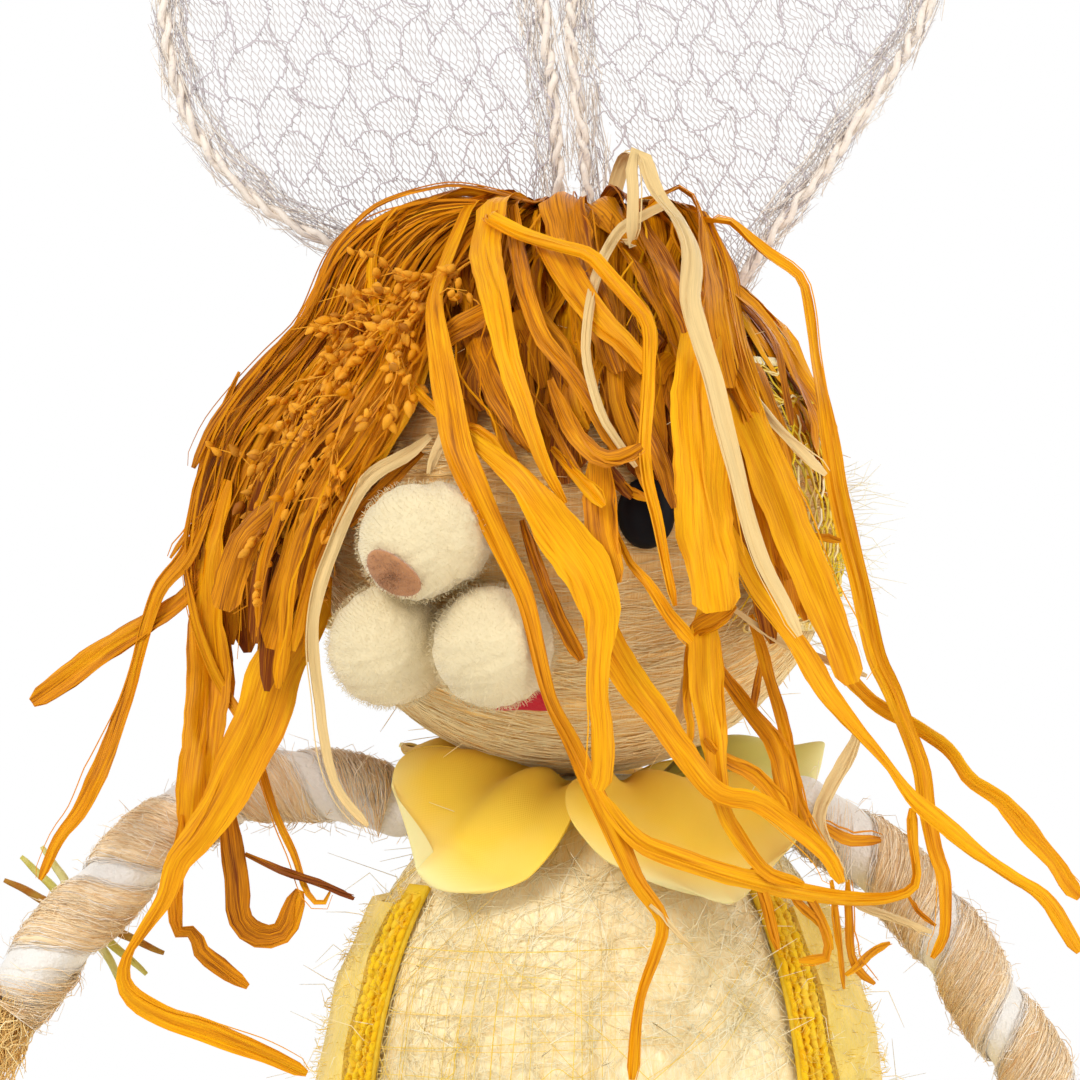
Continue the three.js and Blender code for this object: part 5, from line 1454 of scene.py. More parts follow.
def lock_paths(rng, count, long, roots, ends, polar, low, flare, lift, hang=92, arch=6.0):
    """Middle lines of a lock: each leaves the crown, arches over, lies down to the hang angle and falls."""
    t = np.linspace(0, 1, long)[None]
    lying, free = np.minimum(1, t / 0.55), np.clip((t - 0.55) / 0.45, 0, 1)
    share = (np.arange(count) + rng.random(count)) / count
    start = roots[0] + (roots[1] - roots[0]) * share
    stop = ends[0] + (ends[1] - ends[0]) * np.clip(share + rng.normal(0, 0.08, count), 0, 1)
    turn = start[:, None] + (stop - start)[:, None] * t
    turn = turn + 4.5 * wander(rng, count, long) * np.minimum(1, 3 * t)
    first = polar + rng.uniform(-3, 3, (count, 1))
    down = first + (hang - first) * lying
    high = rng.uniform(*lift, (count, 1)) + arch * np.sin(np.pi * np.minimum(1, lying * 1.3)) * rng.uniform(
        0.3, 1.0, (count, 1))
    path = over_head(turn, down, high)
    end = rng.uniform(*low, (count, 1))
    path[..., 2] -= free * (path[..., 2] - end)
    path += bearing(turn) * (rng.uniform(*flare, (count, 1)) * free ** 1.3)[..., None]
    path += (1.2 * wander(rng, count, long) * free)[..., None] * bearing(turn + 90)
    facing = unit(bearing(turn) * np.sin(np.radians(np.minimum(down, 90)))[..., None]
                  + upright(np.cos(np.radians(down)).clip(0)))
    return path, facing


def lock_strips(rng, paths, facing, widths, tones):
    """Strips of raffia along a lock's middle lines."""
    parts = []
    for path, front, wide, tone in zip(paths, facing, widths, tones):
        long = len(path)
        t = np.linspace(0, 1, long)
        reach = wide * np.minimum(1, 0.45 + 2.2 * t) * (1 - 0.55 * np.clip((t - 0.85) / 0.15, 0, 1))
        shape, uv = strip(path, front, reach, rng, across=5, twist=0.4)
        parts.append((shape, uv, np.repeat(shade_of(rng, tone, long), 10)))
    return parts


def lock_tones(rng, count, middle=0.45, plain=0.05):
    return np.where(rng.random(count) < plain, UNDYED, np.clip(rng.normal(middle, 0.18, count), 0.02, 1))


class RABBIT_OT_mop(bpy.types.Operator):
    """Mop: raffia strips that spring from the crown and hang round the head"""

    bl_idname = "rabbit.mop"
    bl_label = "Mop"

    def execute(self, context):
        rng = np.random.default_rng(41)
        # Each lock's shown strips, its flows between edges, and the shorter strips that fill its sides
        # Painted shade: the first, lowest flow of the left lock and of the front takes the darkest raffia
        # tones.
        locks = {
            "left": (LEFT_STRIPS, [(LEFT_EDGES, 30, (0.5, 1.0), (2, 5), (3, 7), 0.2),
                                   (LEFT_EDGES, 52, (0.4, 1.0), (4, 9), (1.4, 4.5), 0.38),
                                   (LEFT_EDGES, 110, (0.3, 0.95), (8, 12), (0.35, 0.7), 0.48)],
                     [(22, (-104, -62), (-108, -66), 12, (190, 220), (1, 4), (2, 6))]),
            "front": (FRONT_STRIPS, [(FRINGE_EDGES, 26, (0.55, 0.95), (1.5, 3), (5, 9), 0.14),
                                     (FRINGE_EDGES, 34, (0.45, 0.95), (3, 8), (2, 5.5), 0.42),
                                     (FRINGE_EDGES, 22, (0.3, 0.9), (7, 10), (0.35, 0.7), 0.6)], []),
            "right": (RIGHT_STRIPS, [(RIGHT_EDGES, 22, (0.4, 0.95), (2, 7), (2.5, 7.0), 0.42),
                                     (RIGHT_EDGES, 18, (0.3, 0.9), (7, 10), (0.35, 0.7), 0.6)],
                      [(26, (58, 112), (62, 116), 12, (196, 222), (0, 1), (1.5, 4))]),
        }
        for name, (shown, flows, sides) in locks.items():
            parts = shown_strips(rng, shown)
            for job in flows:
                parts += flow(rng, *job)
            for count, roots, ends, polar, low, flare, lift in sides:
                paths, facing = lock_paths(rng, count, 24, roots, ends, polar, low, flare, lift, 68)
                widths = rng.uniform(2.5, 6.5, count)
                parts += lock_strips(rng, paths, facing, widths, lock_tones(rng, count))
            raffia_piece("raffia_" + name, parts, ["hair_" + name])

        parts = []
        for count, polar, lift in ((54, 40, (3, 5)), (30, 28, (4, 7)), (34, 13, (5, 8))):
            turns = (112, 248) if polar < 30 else (124, 236)
            paths, facing = lock_paths(rng, count, 26, turns, (128, 232), polar, (174, 200), (0, 3), lift,
                                       arch=4.0)
            parts += lock_strips(rng, paths, facing, rng.uniform(2.5, 7.5, count), lock_tones(rng, count))
        raffia_piece("raffia_back", parts, ["hair_back"])

        count, long = KNOT_STRIPS, 22
        t = np.linspace(-1, 1, long)[None]
        lean = rng.uniform(0, TURN, count)[:, None]
        swirl = lean + t * rng.uniform(0.9, 2.0, (count, 1))
        level = rng.uniform(-0.35, 0.95, (count, 1)) + 0.12 * wander(rng, count, long)
        d = on_sphere(swirl, np.clip(level, -0.3, 0.97))
        top = over_head(0, 0, 1)
        paths = top + d * (np.array([9.5, 7.2, 7.0]) + rng.uniform(-0.6, 0.8, (count, 1, 1)))
        parts = lock_strips(rng, paths, d, rng.uniform(1.5, 3.5, count), lock_tones(rng, count, 0.2, 0))
        raffia_piece("raffia_knot", parts, ["hair_knot"])
        return {"FINISHED"}


# Millet sprig

TWIGS, SEEDS = 24, 74


def husks(rng, centres, ways, radius, tone):
    """Millet seeds: teardrops of six sides, each round its own way, with a point at the far end."""
    t = np.array([0.0, 0.14, 0.4, 0.7, 0.9, 1.0])
    wide = np.array([0.12, 0.72, 1.0, 0.74, 0.34, 0.06])
    paths = centres[:, None] + ways[:, None] * (t[None, :, None] - 0.4) * (radius[:, None, None] * 3.4)
    reference = unit(rng.normal(size=(len(centres), 1, 3)))
    shape = round_tubes(paths, reference, (wide[None] * radius[:, None])[:, :, None, None], 6)
    return shape, each(tone, shape)


class RABBIT_OT_sprig(bpy.types.Operator):
    """Sprig: dyed millet heads with fine stems, laid over the left of the mop"""

    bl_idname = "rabbit.sprig"
    bl_label = "Millet sprig"

    def execute(self, context):
        rng = np.random.default_rng(53)
        # Bearings at the root and the tip of each head, and the angle from its root to its tip
        heads = [
            (-66, -94, 58), (-63, -84, 78), (-60, -76, 62), (-57, -66, 80), (-54, -58, 58), (-50, -50, 70),
            (-46, -40, 44),
        ]
        t = np.linspace(0, 1, 40)
        parts = []
        for start, stop, reach in heads:
            main = over_head(start + (stop - start) * t, 22 + reach * t, 12 - 2 * (1 - t))
            main = main + np.stack([wander(rng, 1, 40)[0] for _ in range(3)], -1) * 1.2 * t[:, None]
            shape = fibres(main[None], 0.4, 5)
            parts.append((shape, each([0.7], shape)))
            root = rng.uniform(0.22, 0.97, TWIGS)
            base = np.stack([np.interp(root, t, main[:, k]) for k in range(3)], -1)
            along = np.stack([np.interp(root, t, np.gradient(main[:, k])) for k in range(3)], -1)
            away = unit(unit(along) * 0.9 + rng.normal(0, 0.6, (TWIGS, 3)) + unit(base - HEAD_AT) * 0.25)
            long = rng.uniform(6, 19, (TWIGS, 1))
            bend = base + away * long * 0.55 + rng.normal(0, 0.5, (TWIGS, 3))
            tip = bend + unit(away + [0, 0, -0.5]) * long * 0.45
            shape = fibres(np.stack([base, (base + bend) / 2, bend, tip], 1), 0.2)
            parts.append((shape, each(rng.uniform(0.3, 0.7, TWIGS), shape)))
            host = rng.integers(0, TWIGS, SEEDS)
            u = rng.uniform(0.35, 1.05, (SEEDS, 1))
            place = np.where(u < 0.55, base[host] + (bend - base)[host] * u / 0.55,
                             bend[host] + (tip - bend)[host] * (u - 0.55) / 0.45)
            place = place + rng.normal(0, 0.55, (SEEDS, 3))
            way = unit(away[host] + rng.normal(0, 0.45, (SEEDS, 3)))
            radius = rng.uniform(0.75, 1.25, SEEDS) * sizes().seed
            parts.append(husks(rng, place, way, radius, mottled(rng, 0.6, 0.25, SEEDS)))
        shape, tone = gathered(parts)
        piece("millet_heads", shape, "millet", tone=tone, stands_for=["millet_sprig"])
        return {"FINISHED"}


# Mesh ribbon

RIBBON_FROM, RIBBON_TO, RIBBON_LOW, RIBBON_HIGH = 38.0, 268.0, -22.0, 35.0
RIBBON_WISPS, RIBBON_LOOPS = 110, 150


class RABBIT_OT_ribbon(bpy.types.Operator):
    """Ribbon: a loosely woven mesh band round the sides and back of the head"""

    bl_idname = "rabbit.ribbon"
    bl_label = "Mesh ribbon"

    def execute(self, context):
        rng = np.random.default_rng(61)
        parts = []

        def place(u, v, lift):
            """Points of the band at a share u of its way round and v of its height, standing off by lift."""
            rise = RIBBON_LOW + (RIBBON_HIGH - RIBBON_LOW) * v
            return beside_head(RIBBON_FROM + (RIBBON_TO - RIBBON_FROM) * u, rise, 1.6 + lift)

        long = math.radians(RIBBON_TO - RIBBON_FROM) * (HEAD_R + 2)
        for sign in (1, -1):
            count = int(long / 2.6)
            t = np.linspace(0, 1, 26)[None]
            start = np.linspace(-0.12, 1.0, count)[:, None]
            u = start + sign * 0.12 * t + (0 if sign > 0 else 0.12)
            u = u[(u[:, 0] > -0.01) & (u[:, -1] < 1.01) & (u[:, -1] > -0.01) & (u[:, 0] < 1.01)]
            u = u + 0.003 * wander(rng, len(u), 26, (2, 4))
            lift = 0.35 * sign * np.sin(TURN * 8 * t) + 0.25 * wander(rng, len(u), 26)
            shape = fibres(place(u, t, lift), rng.uniform(0.25, 0.42, len(u)))
            parts.append((shape, each(mottled(rng, 0.5, 0.2, len(u)), shape)))
        for edge in (0.02, 0.12, 0.86, 0.97):
            count = 4
            u = np.linspace(0.005, 0.995, 150)[None]
            v = edge + 0.018 * wander(rng, count, 150, (8, 16))
            shape = fibres(place(u, v, 0.8 + 0.5 * wander(rng, count, 150, (8, 14))), 0.42)
            parts.append((shape, each(rng.uniform(0.35, 0.8, count), shape)))
        count = RIBBON_WISPS
        at = np.stack([rng.uniform(0.12, 0.3, count), rng.uniform(-0.15, 0.6, count)])
        roots = place(*at, 0)
        out = unit(roots - HEAD_AT + rng.normal(0, 16, (count, 3)))
        reach = rng.uniform(4, 16, (count, 1))
        bend = roots + out * reach * 0.5
        tips = bend + unit(out + rng.normal(0, 0.5, (count, 3))) * reach * 0.5
        shape = fibres(np.stack([roots, bend, tips], 1), 0.09)
        parts.append((shape, np.ones(len(shape[0]))))
        t = np.linspace(0, TURN, 11)[None]
        for edge, way in ((0.99, 1), (0.01, -1)):
            u = np.linspace(0.01, 0.99, RIBBON_LOOPS)[:, None] + 0.0045 * np.sin(t) * 1.3
            v = edge + way * 0.03 * (1 - np.cos(t)) / 2
            shape = fibres(place(u, v, 0.9 + 0.3 * np.sin(t * 0.5)), 0.36)
            parts.append((shape, each(rng.uniform(0.6, 1, RIBBON_LOOPS), shape)))
        shape, tone = gathered(parts)
        piece("ribbon_mesh", shape, "ribbon", tone=tone, stands_for=["ribbon_wrap"])
        return {"FINISHED"}


# Collar

# Bearing, length, half width, height of the root, drop to the tip and lifts of the two sides, in millimetres
PETALS = {
    "front_left": (-43, 45, 25, 149.6, 18, 19, -10),
    "front_right": (27, 48, 29, 149.7, 24, 3, 7),
    "right": (100, 38, 22, 149.6, -7, -17, 0),
    "back": (172, 38, 25, 149.6, 14, 0, 0),
    "left": (-118, 38, 21, 149.7, -6, 0, 4),
}
PETAL_ROOT_R = 13.0


class RABBIT_OT_collar(bpy.types.Operator):
    """Collar: five cloth petals gathered under the chin"""

    bl_idname = "rabbit.collar"
    bl_label = "Petal collar"

    def execute(self, context):
        for number, (name, shape) in enumerate(PETALS.items()):
            facing, long, half, start, drop, lift_left, lift_right = shape
            rng = np.random.default_rng(70 + number)
            u = 1 - (1 - np.linspace(0, 1, 64)[:, None]) ** 2
            across = np.linspace(-1, 1, 56)[None]
            wide = 5 + (half - 5) * np.sin(np.pi / 2 * np.minimum(1, u * 1.5)) ** 1.1
            rounding = np.clip(1 - (np.clip(u - 0.4, 0, None) / 0.6) ** 2.6, 0.0004, None) ** 0.5
            reach = long * u * (1 - 0.13 * across ** 2 * u)
            lift = np.where(across < 0, lift_left, lift_right) * np.abs(across) ** 1.15 * u
            folds = 1.9 * np.sin(np.pi * (1.7 * across + 0.5 * np.sin(2 * across + number))) * (1 - 0.6 * u)
            waves = 1.5 * ripple(across * 0.8, u, rng, 4, 0.3, 0.8) * u
            vein = -0.55 * np.exp(-(across * 7) ** 2) * (1 - u)
            edge = np.sin(TURN * (0.9 * across + 0.3)) * u ** 3
            puff = 5.4 * np.sin(np.pi * np.minimum(1, u * 1.25)) ** 1.2
            ruffle = lift + (folds + vein) * np.minimum(1, 8 * u) + waves + edge
            z = start - 0.9 - drop * u ** 1.5 + puff + ruffle * rounding ** 0.5
            points = (bearing(facing) * (PETAL_ROOT_R + reach)[..., None]
                      + bearing(facing + 90) * (across * wide * rounding)[..., None] + upright(z))
            flat = cloth(points, sizes().petal)
            tone = np.clip(0.85 * u ** 5 + 0.5 * np.clip(-across, 0, 1) ** 2 * u - 0.06 * folds, 0, 1)
            tone = np.concatenate([tone, tone[:, ::-1]], 1)
            uv = slab_uv(across * half, u * long)
            kind = "petal_side" if name == "right" else "petal"
            made = piece("petal_cloth_" + name, flat, kind, uv=uv, tone=tone, crisp=True,
                         stands_for=["petal_" + name])
        return {"FINISHED"}


# Vest

VEST_LOW, VEST_HIGH, TRIM_HIGH = 48.0, 122.0, 127.0
VEST_EDGES = (44.0, 306.0)
TRIM_WIDE = 11.0
VEST_THICK, VEST_OFF = 2.2, 2.1  # the felt, and how far its middle stands off the torso
VEST_HAIRS, BRAID_HAIRS = 2200, 1000


class RABBIT_OT_vest(bpy.types.Operator):
    """Vest: furry felt round the sides and back, with braided edges"""

    bl_idname = "rabbit.vest"
    bl_label = "Vest"

    def execute(self, context):
        rng = np.random.default_rng(83)
        middle = float(torso_r((VEST_LOW + VEST_HIGH) / 2))
        trim_turn = math.degrees(TRIM_WIDE / middle)
        first, last = VEST_EDGES[0] + trim_turn + 0.6, VEST_EDGES[1] - trim_turn - 0.6
        u = np.linspace(0, 1, 190)[:, None]
        v = np.linspace(0, 1, 46)[None]
        turn = first + (last - first) * u
        z = VEST_LOW + (VEST_HIGH - VEST_LOW) * v
        bulge = 0.4 * ripple(turn / 14, z / 14, rng, 5, 0.4, 1.3)
        # The grid runs round first, so the sheet's outer face is where along x across points outwards
        points = on_torso(turn, z, VEST_OFF + bulge)
        flat = cloth(points[:, ::-1], VEST_THICK)
        wide = math.radians(last - first) * middle
        uv = slab_uv(u * wide, (VEST_HIGH - VEST_LOW) * v[:, ::-1])
        made = piece("vest_felt", flat, "vest_felt", uv=uv, crisp=True, stands_for=["vest"])

        count = VEST_HAIRS
        turn, z = rng.uniform(first, last, count), rng.uniform(VEST_LOW, VEST_HIGH, count)
        roots = on_torso(turn, z, 3.1)
        shape = fuzz(rng, roots, bearing(turn), 2.2, 0.09, 0.9)
        piece("vest_hair", shape, "vest_hair", tone=each(rng.uniform(0, 1, count), shape))

        for name, edge in (("right", VEST_EDGES[0]), ("left", VEST_EDGES[1] - trim_turn)):
            parts = []
            rows = int((TRIM_HIGH - VEST_LOW) / 2.3)
            t = np.linspace(0, 1, 9)[None]
            # Two rows of stitches: share of the trim from the vest's front edge, width and tone
            # The narrow row by the front edge is a darker gold: painted shade along the vest's edge.
            for share, size, shade in ((0.17, 0.8, 0.34), (0.6, 1.15, 0.54)):
                share = share if name == "right" else 1 - share
                for way in (-1, 1):
                    step = (np.arange(rows) + 0.25 * (way + 1)) / rows
                    level = VEST_LOW + 2 + (TRIM_HIGH - VEST_LOW - 6) * step
                    z = level[:, None] + 3.6 * (1 - t) - 1.2 + 0.3 * wander(rng, rows, 9)
                    side = way * size * (0.25 + 1.5 * np.sin(np.pi * (0.12 + 0.76 * t)) * (1 - 0.45 * t))
                    turn = edge + trim_turn * share + np.degrees(side / middle)
                    lift = 2.0 + 1.0 * np.sin(np.pi * t) + 0.2 * rng.normal(size=(rows, 1))
                    shape = fibres(on_torso(turn, z, lift), rng.uniform(0.7, 0.9, rows) * size, 7)
                    parts.append((shape, each(mottled(rng, shade, 0.1, rows), shape)))
            z = np.linspace(VEST_LOW + 0.5, TRIM_HIGH - 0.5, 40)[:, None]
            turn = edge + trim_turn * np.linspace(0.03, 0.97, 8)[None]
            base = cloth(on_torso(turn, z, 1.6)[::-1], 1.2)
            parts.append((base, np.full(len(base[0]), 0.62)))
            count = BRAID_HAIRS
            turn = edge + trim_turn * rng.random(count)
            roots = on_torso(turn, rng.uniform(VEST_LOW + 1, TRIM_HIGH - 1, count), 3.0)
            hair = fuzz(rng, roots, unit(roots * [1, 1, 0]), 1.5, 0.07, 1.2)
            parts.append((hair, each(rng.uniform(0.4, 1, count), hair)))
            shape, tone = gathered(parts)
            piece("vest_braid_" + name, shape, "braid", tone=tone, stands_for=["vest_trim_" + name])
        return {"FINISHED"}


# Limbs

LIMB_CORE_R = 7.0
ELBOW_BEND = 9.0  # how far from the elbow's point the limb bends, each way
# How far along each arm a gap between the band's turns faces the front
FIRST_GAPS = {"left": 57.0, "right": 30.0}
ARM_FIBRES, LEG_FIBRES, TUFT_FIBRES, TUFT_STRIPS = 2000, 620, 620, 7


def wrapped_limb(rng, name, limb, start, stop, first, facing, blend, replaced, count):
    """A limb: a felted core, a band of sisal wound from first to its end, and fibres along the band."""
    groove = np.random.default_rng(9)
    core, uv = limb.skin(start, stop, LIMB_CORE_R, 110, 28,
                         lambda s, turn: 0.18 * ripple(s / 9, turn / 2, groove, 4, 0.5, 1.5))
    piece(name + "_core", core, "wadding", uv=uv, stands_for=replaced, blend=blend)
    span = (first + BAND_W / 2, limb.length - BAND_W / 2)
    shape, uv = wound_band(limb, LIMB_CORE_R, *span, facing)
    piece(name + "_band", shape, "band_combed", uv=uv, blend=blend)
    paths, aside = band_fibres(limb, rng, count, LIMB_CORE_R, *span, facing)
    shape = fibres(paths, rng.uniform(0.45, 0.95, count) * sizes().fibre)
    tone = rng.normal(0.5, 0.18, count) + 0.5 * np.clip(aside - 0.36, 0, 1) / 0.2
    tone = each(np.clip(tone, 0, 1), shape)
    piece(name + "_fibres", shape, "silk_fibres", tone=tone, blend=blend)
    hairs = count // 9
    s, turn = rng.uniform(start + 2, stop, hairs), rng.uniform(0, TURN, hairs)
    roots = limb.place(s, turn, LIMB_CORE_R + 0.8)
    out = unit(roots - limb.place(s, turn, 0))
    shape = fuzz(rng, roots, out, 2.6, 0.09, 1.4)
    tone = each(rng.uniform(0.4, 1, hairs), shape)
    piece(name + "_hair", shape, "silk_fibres", tone=tone, blend=blend)


class RABBIT_OT_arms(bpy.types.Operator):
    """Arms: padded wire wound with sisal, frayed at the ends, with dried stems behind the left one"""

    bl_idname = "rabbit.arms"
    bl_label = "Arms"

    def execute(self, context):
        for side in ("left", "right"):
            rng = np.random.default_rng(91 if side == "left" else 97)
            route = np.array(ARM_ROUTES[side], float)
            limb = Limb(route, (0, 1, 0))
            elbow = float(limb.run[np.linalg.norm(limb.path - route[ELBOW_POINT], axis=1).argmin()])
            ends = [tuple(limb.look_up(limb.path, elbow + d) * MM) for d in (-ELBOW_BEND, ELBOW_BEND)]
            blend = ("arm_" + side, "forearm_" + side, *ends)
            replaced = [n + side for n in ("upper_arm_", "forearm_", "upper_arm_band_", "forearm_band_")]
            wrapped_limb(rng, "arm_" + side, limb, -LIMB_CORE_R + 0.4, limb.length, 3.5,
                         FIRST_GAPS[side] - BAND_PITCH / 2, blend, replaced, ARM_FIBRES)

            count, long = TUFT_FIBRES, 9
            t = np.linspace(0, 1, long)[None]
            turn = rng.uniform(0, TURN, (count, 1)) + 0.35 * wander(rng, count, long)
            reach = rng.uniform(9, 24, (count, 1))
            start = rng.uniform(-4, 2, (count, 1)) + limb.length
            radius = rng.uniform(1.5, LIMB_CORE_R + 1.2, (count, 1))
            radius = radius + t ** 1.5 * rng.uniform(-1, 7, (count, 1))
            paths = limb.place(start + reach * t, turn, radius + 0.5 * wander(rng, count, long))
            tuft = fibres(paths, rng.uniform(0.8, 1.5, count) * sizes().fibre)
            piece("hand_fray_" + side, tuft, "tan_fibres", body="forearm_" + side,
                  tone=each(mottled(rng, 0.5, 0.22, count), tuft), stands_for=["hand_tuft_" + side])
            parts = []
            t = np.linspace(0, 1, 18)[None]
            for _ in range(TUFT_STRIPS):
                turn = rng.uniform(0, TURN) + 0.4 * wander(rng, 1, 18)
                along = limb.length - 3 + rng.uniform(17, 24) * t
                radius = rng.uniform(4, 7.5) + 2.5 * t ** 2
                path = limb.place(along, turn, radius)[0]
                out = unit(path - limb.place(along, turn, 0)[0])
                shape, uv = strip(path, out, np.full(18, rng.uniform(1.4, 3.2)), rng, across=5)
                parts.append((shape, uv, np.full(180, rng.uniform(0.3, 0.8))))
            raffia_piece("hand_raffia_" + side, parts, body="forearm_" + side)

            if side == "left":
                tie = limb.look_up(limb.path, elbow + 25) + [0, LIMB_CORE_R + 1.5 + 0.6 + 2.6, 0]
                reaches = np.array([(-14, 1.2, 13), (-9, -1, 16), (-18, 0.2, 8)], float)
                t = np.linspace(-1, 1, 30)[None, :, None]
                middle = tie + reaches[:, None] * t
                middle = middle + np.stack([wander(rng, 3, 30) for _ in range(3)], -1) * 0.35
                stems = fibres(middle, 1.15, 8)
                turns = 9
                a = np.linspace(0, TURN * turns, 40 * turns)[None]
                rise = np.linspace(-3, 3, 40 * turns)[None]
                wrap = fibres(tie + np.stack([3.3 * np.cos(a), 2.5 * np.sin(a), rise], -1), 0.42, 4)
                shape, tone = gathered([(stems, each([0.5, 0.62, 0.1], stems)), (wrap, each([0.8], wrap))])
                piece("posy", shape, "stem", body="forearm_left", tone=tone,
                      stands_for=["posy_stems"])
        return {"FINISHED"}


# Legs and tail

LEG_Z, LEG_SPLAY, LEG_FROM, LEG_TO, LEG_YAW = 12.8, 16.0, 46.0, 118.0, 29.0
FOOT_HALF = np.array([18.0, 11.5, 30.0])
SOLE_HALF = (11.0, 21.0)
FOOT_FIBRES, TAIL_HAIRS = 650, 1400
TAIL_R, TAIL_Z = 14.0, 26.0


class RABBIT_OT_legs(bpy.types.Operator):
    """Legs: wound like the arms, with sisal feet and felt soles, and a cotton tail"""

    bl_idname = "rabbit.legs"
    bl_label = "Legs and tail"

    def execute(self, context):
        for side, name in ((-1, "left"), (1, "right")):
            rng = np.random.default_rng(101 + side)
            hip = bearing(side * LEG_YAW) * LEG_FROM + [0, 0, LEG_Z]
            way = bearing(side * LEG_SPLAY)
            ankle = hip + way * (LEG_TO - LEG_FROM - FOOT_HALF[1] - 2)
            limb = Limb([hip, (hip + ankle) / 2, ankle], (0, 0, 1))
            wrapped_limb(rng, "leg_" + name, limb, 8.0, limb.length + 1.5, 16, 17, None,
                         ["leg_" + name, "leg_band_" + name], LEG_FIBRES)
            foot = hip + way * (LEG_TO - LEG_FROM)
            foot[2] = FOOT_HALF[2] + 0.5
            splay = side * LEG_SPLAY
            groove = np.random.default_rng(8)
            points, faces = ball((0, 0, 0), FOOT_HALF - 0.5, 70, 90, lambda d: 0.2 * ripple(
                d[..., 0] * 2, d[..., 2] * 9, groove, 5, 0.5, 1.5))
            points = stood(points, splay, foot)
            points[:, 2] = np.maximum(points[:, 2], 0.4)
            uv = wrapped_uv(np.linspace(0, 96, 91), np.linspace(0, 80, 70))
            piece("foot_skin_" + name, (points, faces), "tan_combed", uv=uv,
                  stands_for=["foot_" + name])
            count, long = FOOT_FIBRES, 7
            t = np.linspace(-0.5, 0.5, long)[None]
            lean = np.radians(rng.normal(0, 14, (count, 1)))
            turn = rng.uniform(0, TURN, (count, 1)) + rng.uniform(0.5, 1.4, (count, 1)) * t
            level = np.clip(rng.uniform(-0.95, 0.97, (count, 1)) + np.sin(lean) * t, -0.97, 0.99)
            lift = rng.uniform(-0.1, 0.6, (count, 1, 1)) + 0.2 * wander(rng, count, long)[..., None]
            paths = stood(on_sphere(turn, level) * (FOOT_HALF + lift), splay, foot)
            paths[..., 2] = np.maximum(paths[..., 2], 0.4)
            shape = fibres(paths, rng.uniform(0.7, 1.3, count) * sizes().fibre)
            piece("foot_fibres_" + name, shape, "tan_fibres",
                  tone=each(mottled(rng, 0.55, 0.2, count), shape))
            points, faces = patch(np.zeros(3), FOOT_HALF, (0, -1, 0), SOLE_HALF, 0, 1.3, 20, 80)
            piece("sole_felt_" + name, (stood(points, splay, foot), faces), "vest_felt",
                  stands_for=["sole_pad_" + name])
        centre = np.array([0, float(torso_r(TAIL_Z)) + TAIL_R, TAIL_Z])
        pompom(np.random.default_rng(111), "tail_felt", [(centre, TAIL_R - 0.3)], "tail", TAIL_HAIRS)
        return {"FINISHED"}


# Ears

HOOP_STEPS = 900
TWIST_PITCH = 15.0
CORD_HAIRS, EDGE_THREADS = 1100, 1700
WEB_CELL = 8.6


def hoop_line(side):
    """A hoop's middle line: its two roots stand on the head."""
    flat = np.array(HOOP_ROUTES[side], float)
    for k in (0, -1):
        inside = ((flat[k, 0] - HEAD_AT[0]) ** 2 + EAR_Y ** 2) / HEAD_R ** 2
        flat[k, 1] = HEAD_AT[2] + HEAD_RISE * math.sqrt(1 - inside) + 0.3
    return np.stack([flat[:, 0], np.full(len(flat), EAR_Y), flat[:, 1]], -1)


def inner_links(nodes, links, outline):
    """Both ends of each link whose middle lies inside an outline."""
    a, b = nodes[links[:, 0]], nodes[links[:, 1]]
    inside = outline_holds((a + b) / 2, outline)
    return a[inside], b[inside]


def honeycomb(low, high, wide, tall, lean):
    """Nodes and links of a leaning honeycomb over a box: two nodes and three links to each cell."""
    columns = int((high[0] - low[0]) / wide) + 12
    rows = int((high[1] - low[1]) / tall) + 4
    i, j = (v.ravel() for v in np.meshgrid(np.arange(columns), np.arange(rows), indexing="ij"))
    x = low[0] - 6 * wide + (i + 0.5 * (j % 2)) * wide
    z = low[1] - tall + j * tall
    lower = np.stack([x, z], -1)
    upper = lower + [0, tall * 0.36]
    nodes = np.concatenate([lower, upper])
    count = columns * rows

    def at(a, b):
        return np.clip(a, 0, columns - 1) * rows + np.clip(b, 0, rows - 1)

    here = at(i, j)
    odd = j % 2
    left, right = at(i - 1 + odd, j + 1), at(i + odd, j + 1)
    ok = (i > 0) & (i < columns - 1) & (j < rows - 1)
    links = np.concatenate([
        np.stack([here, here + count], -1), np.stack([here + count, left], -1)[ok],
        np.stack([here + count, right], -1)[ok],
    ])
    middle = (np.asarray(low) + high) / 2
    nodes = nodes.astype(float)
    nodes[:, 0] -= (nodes[:, 1] - middle[1]) * lean
    return nodes, links


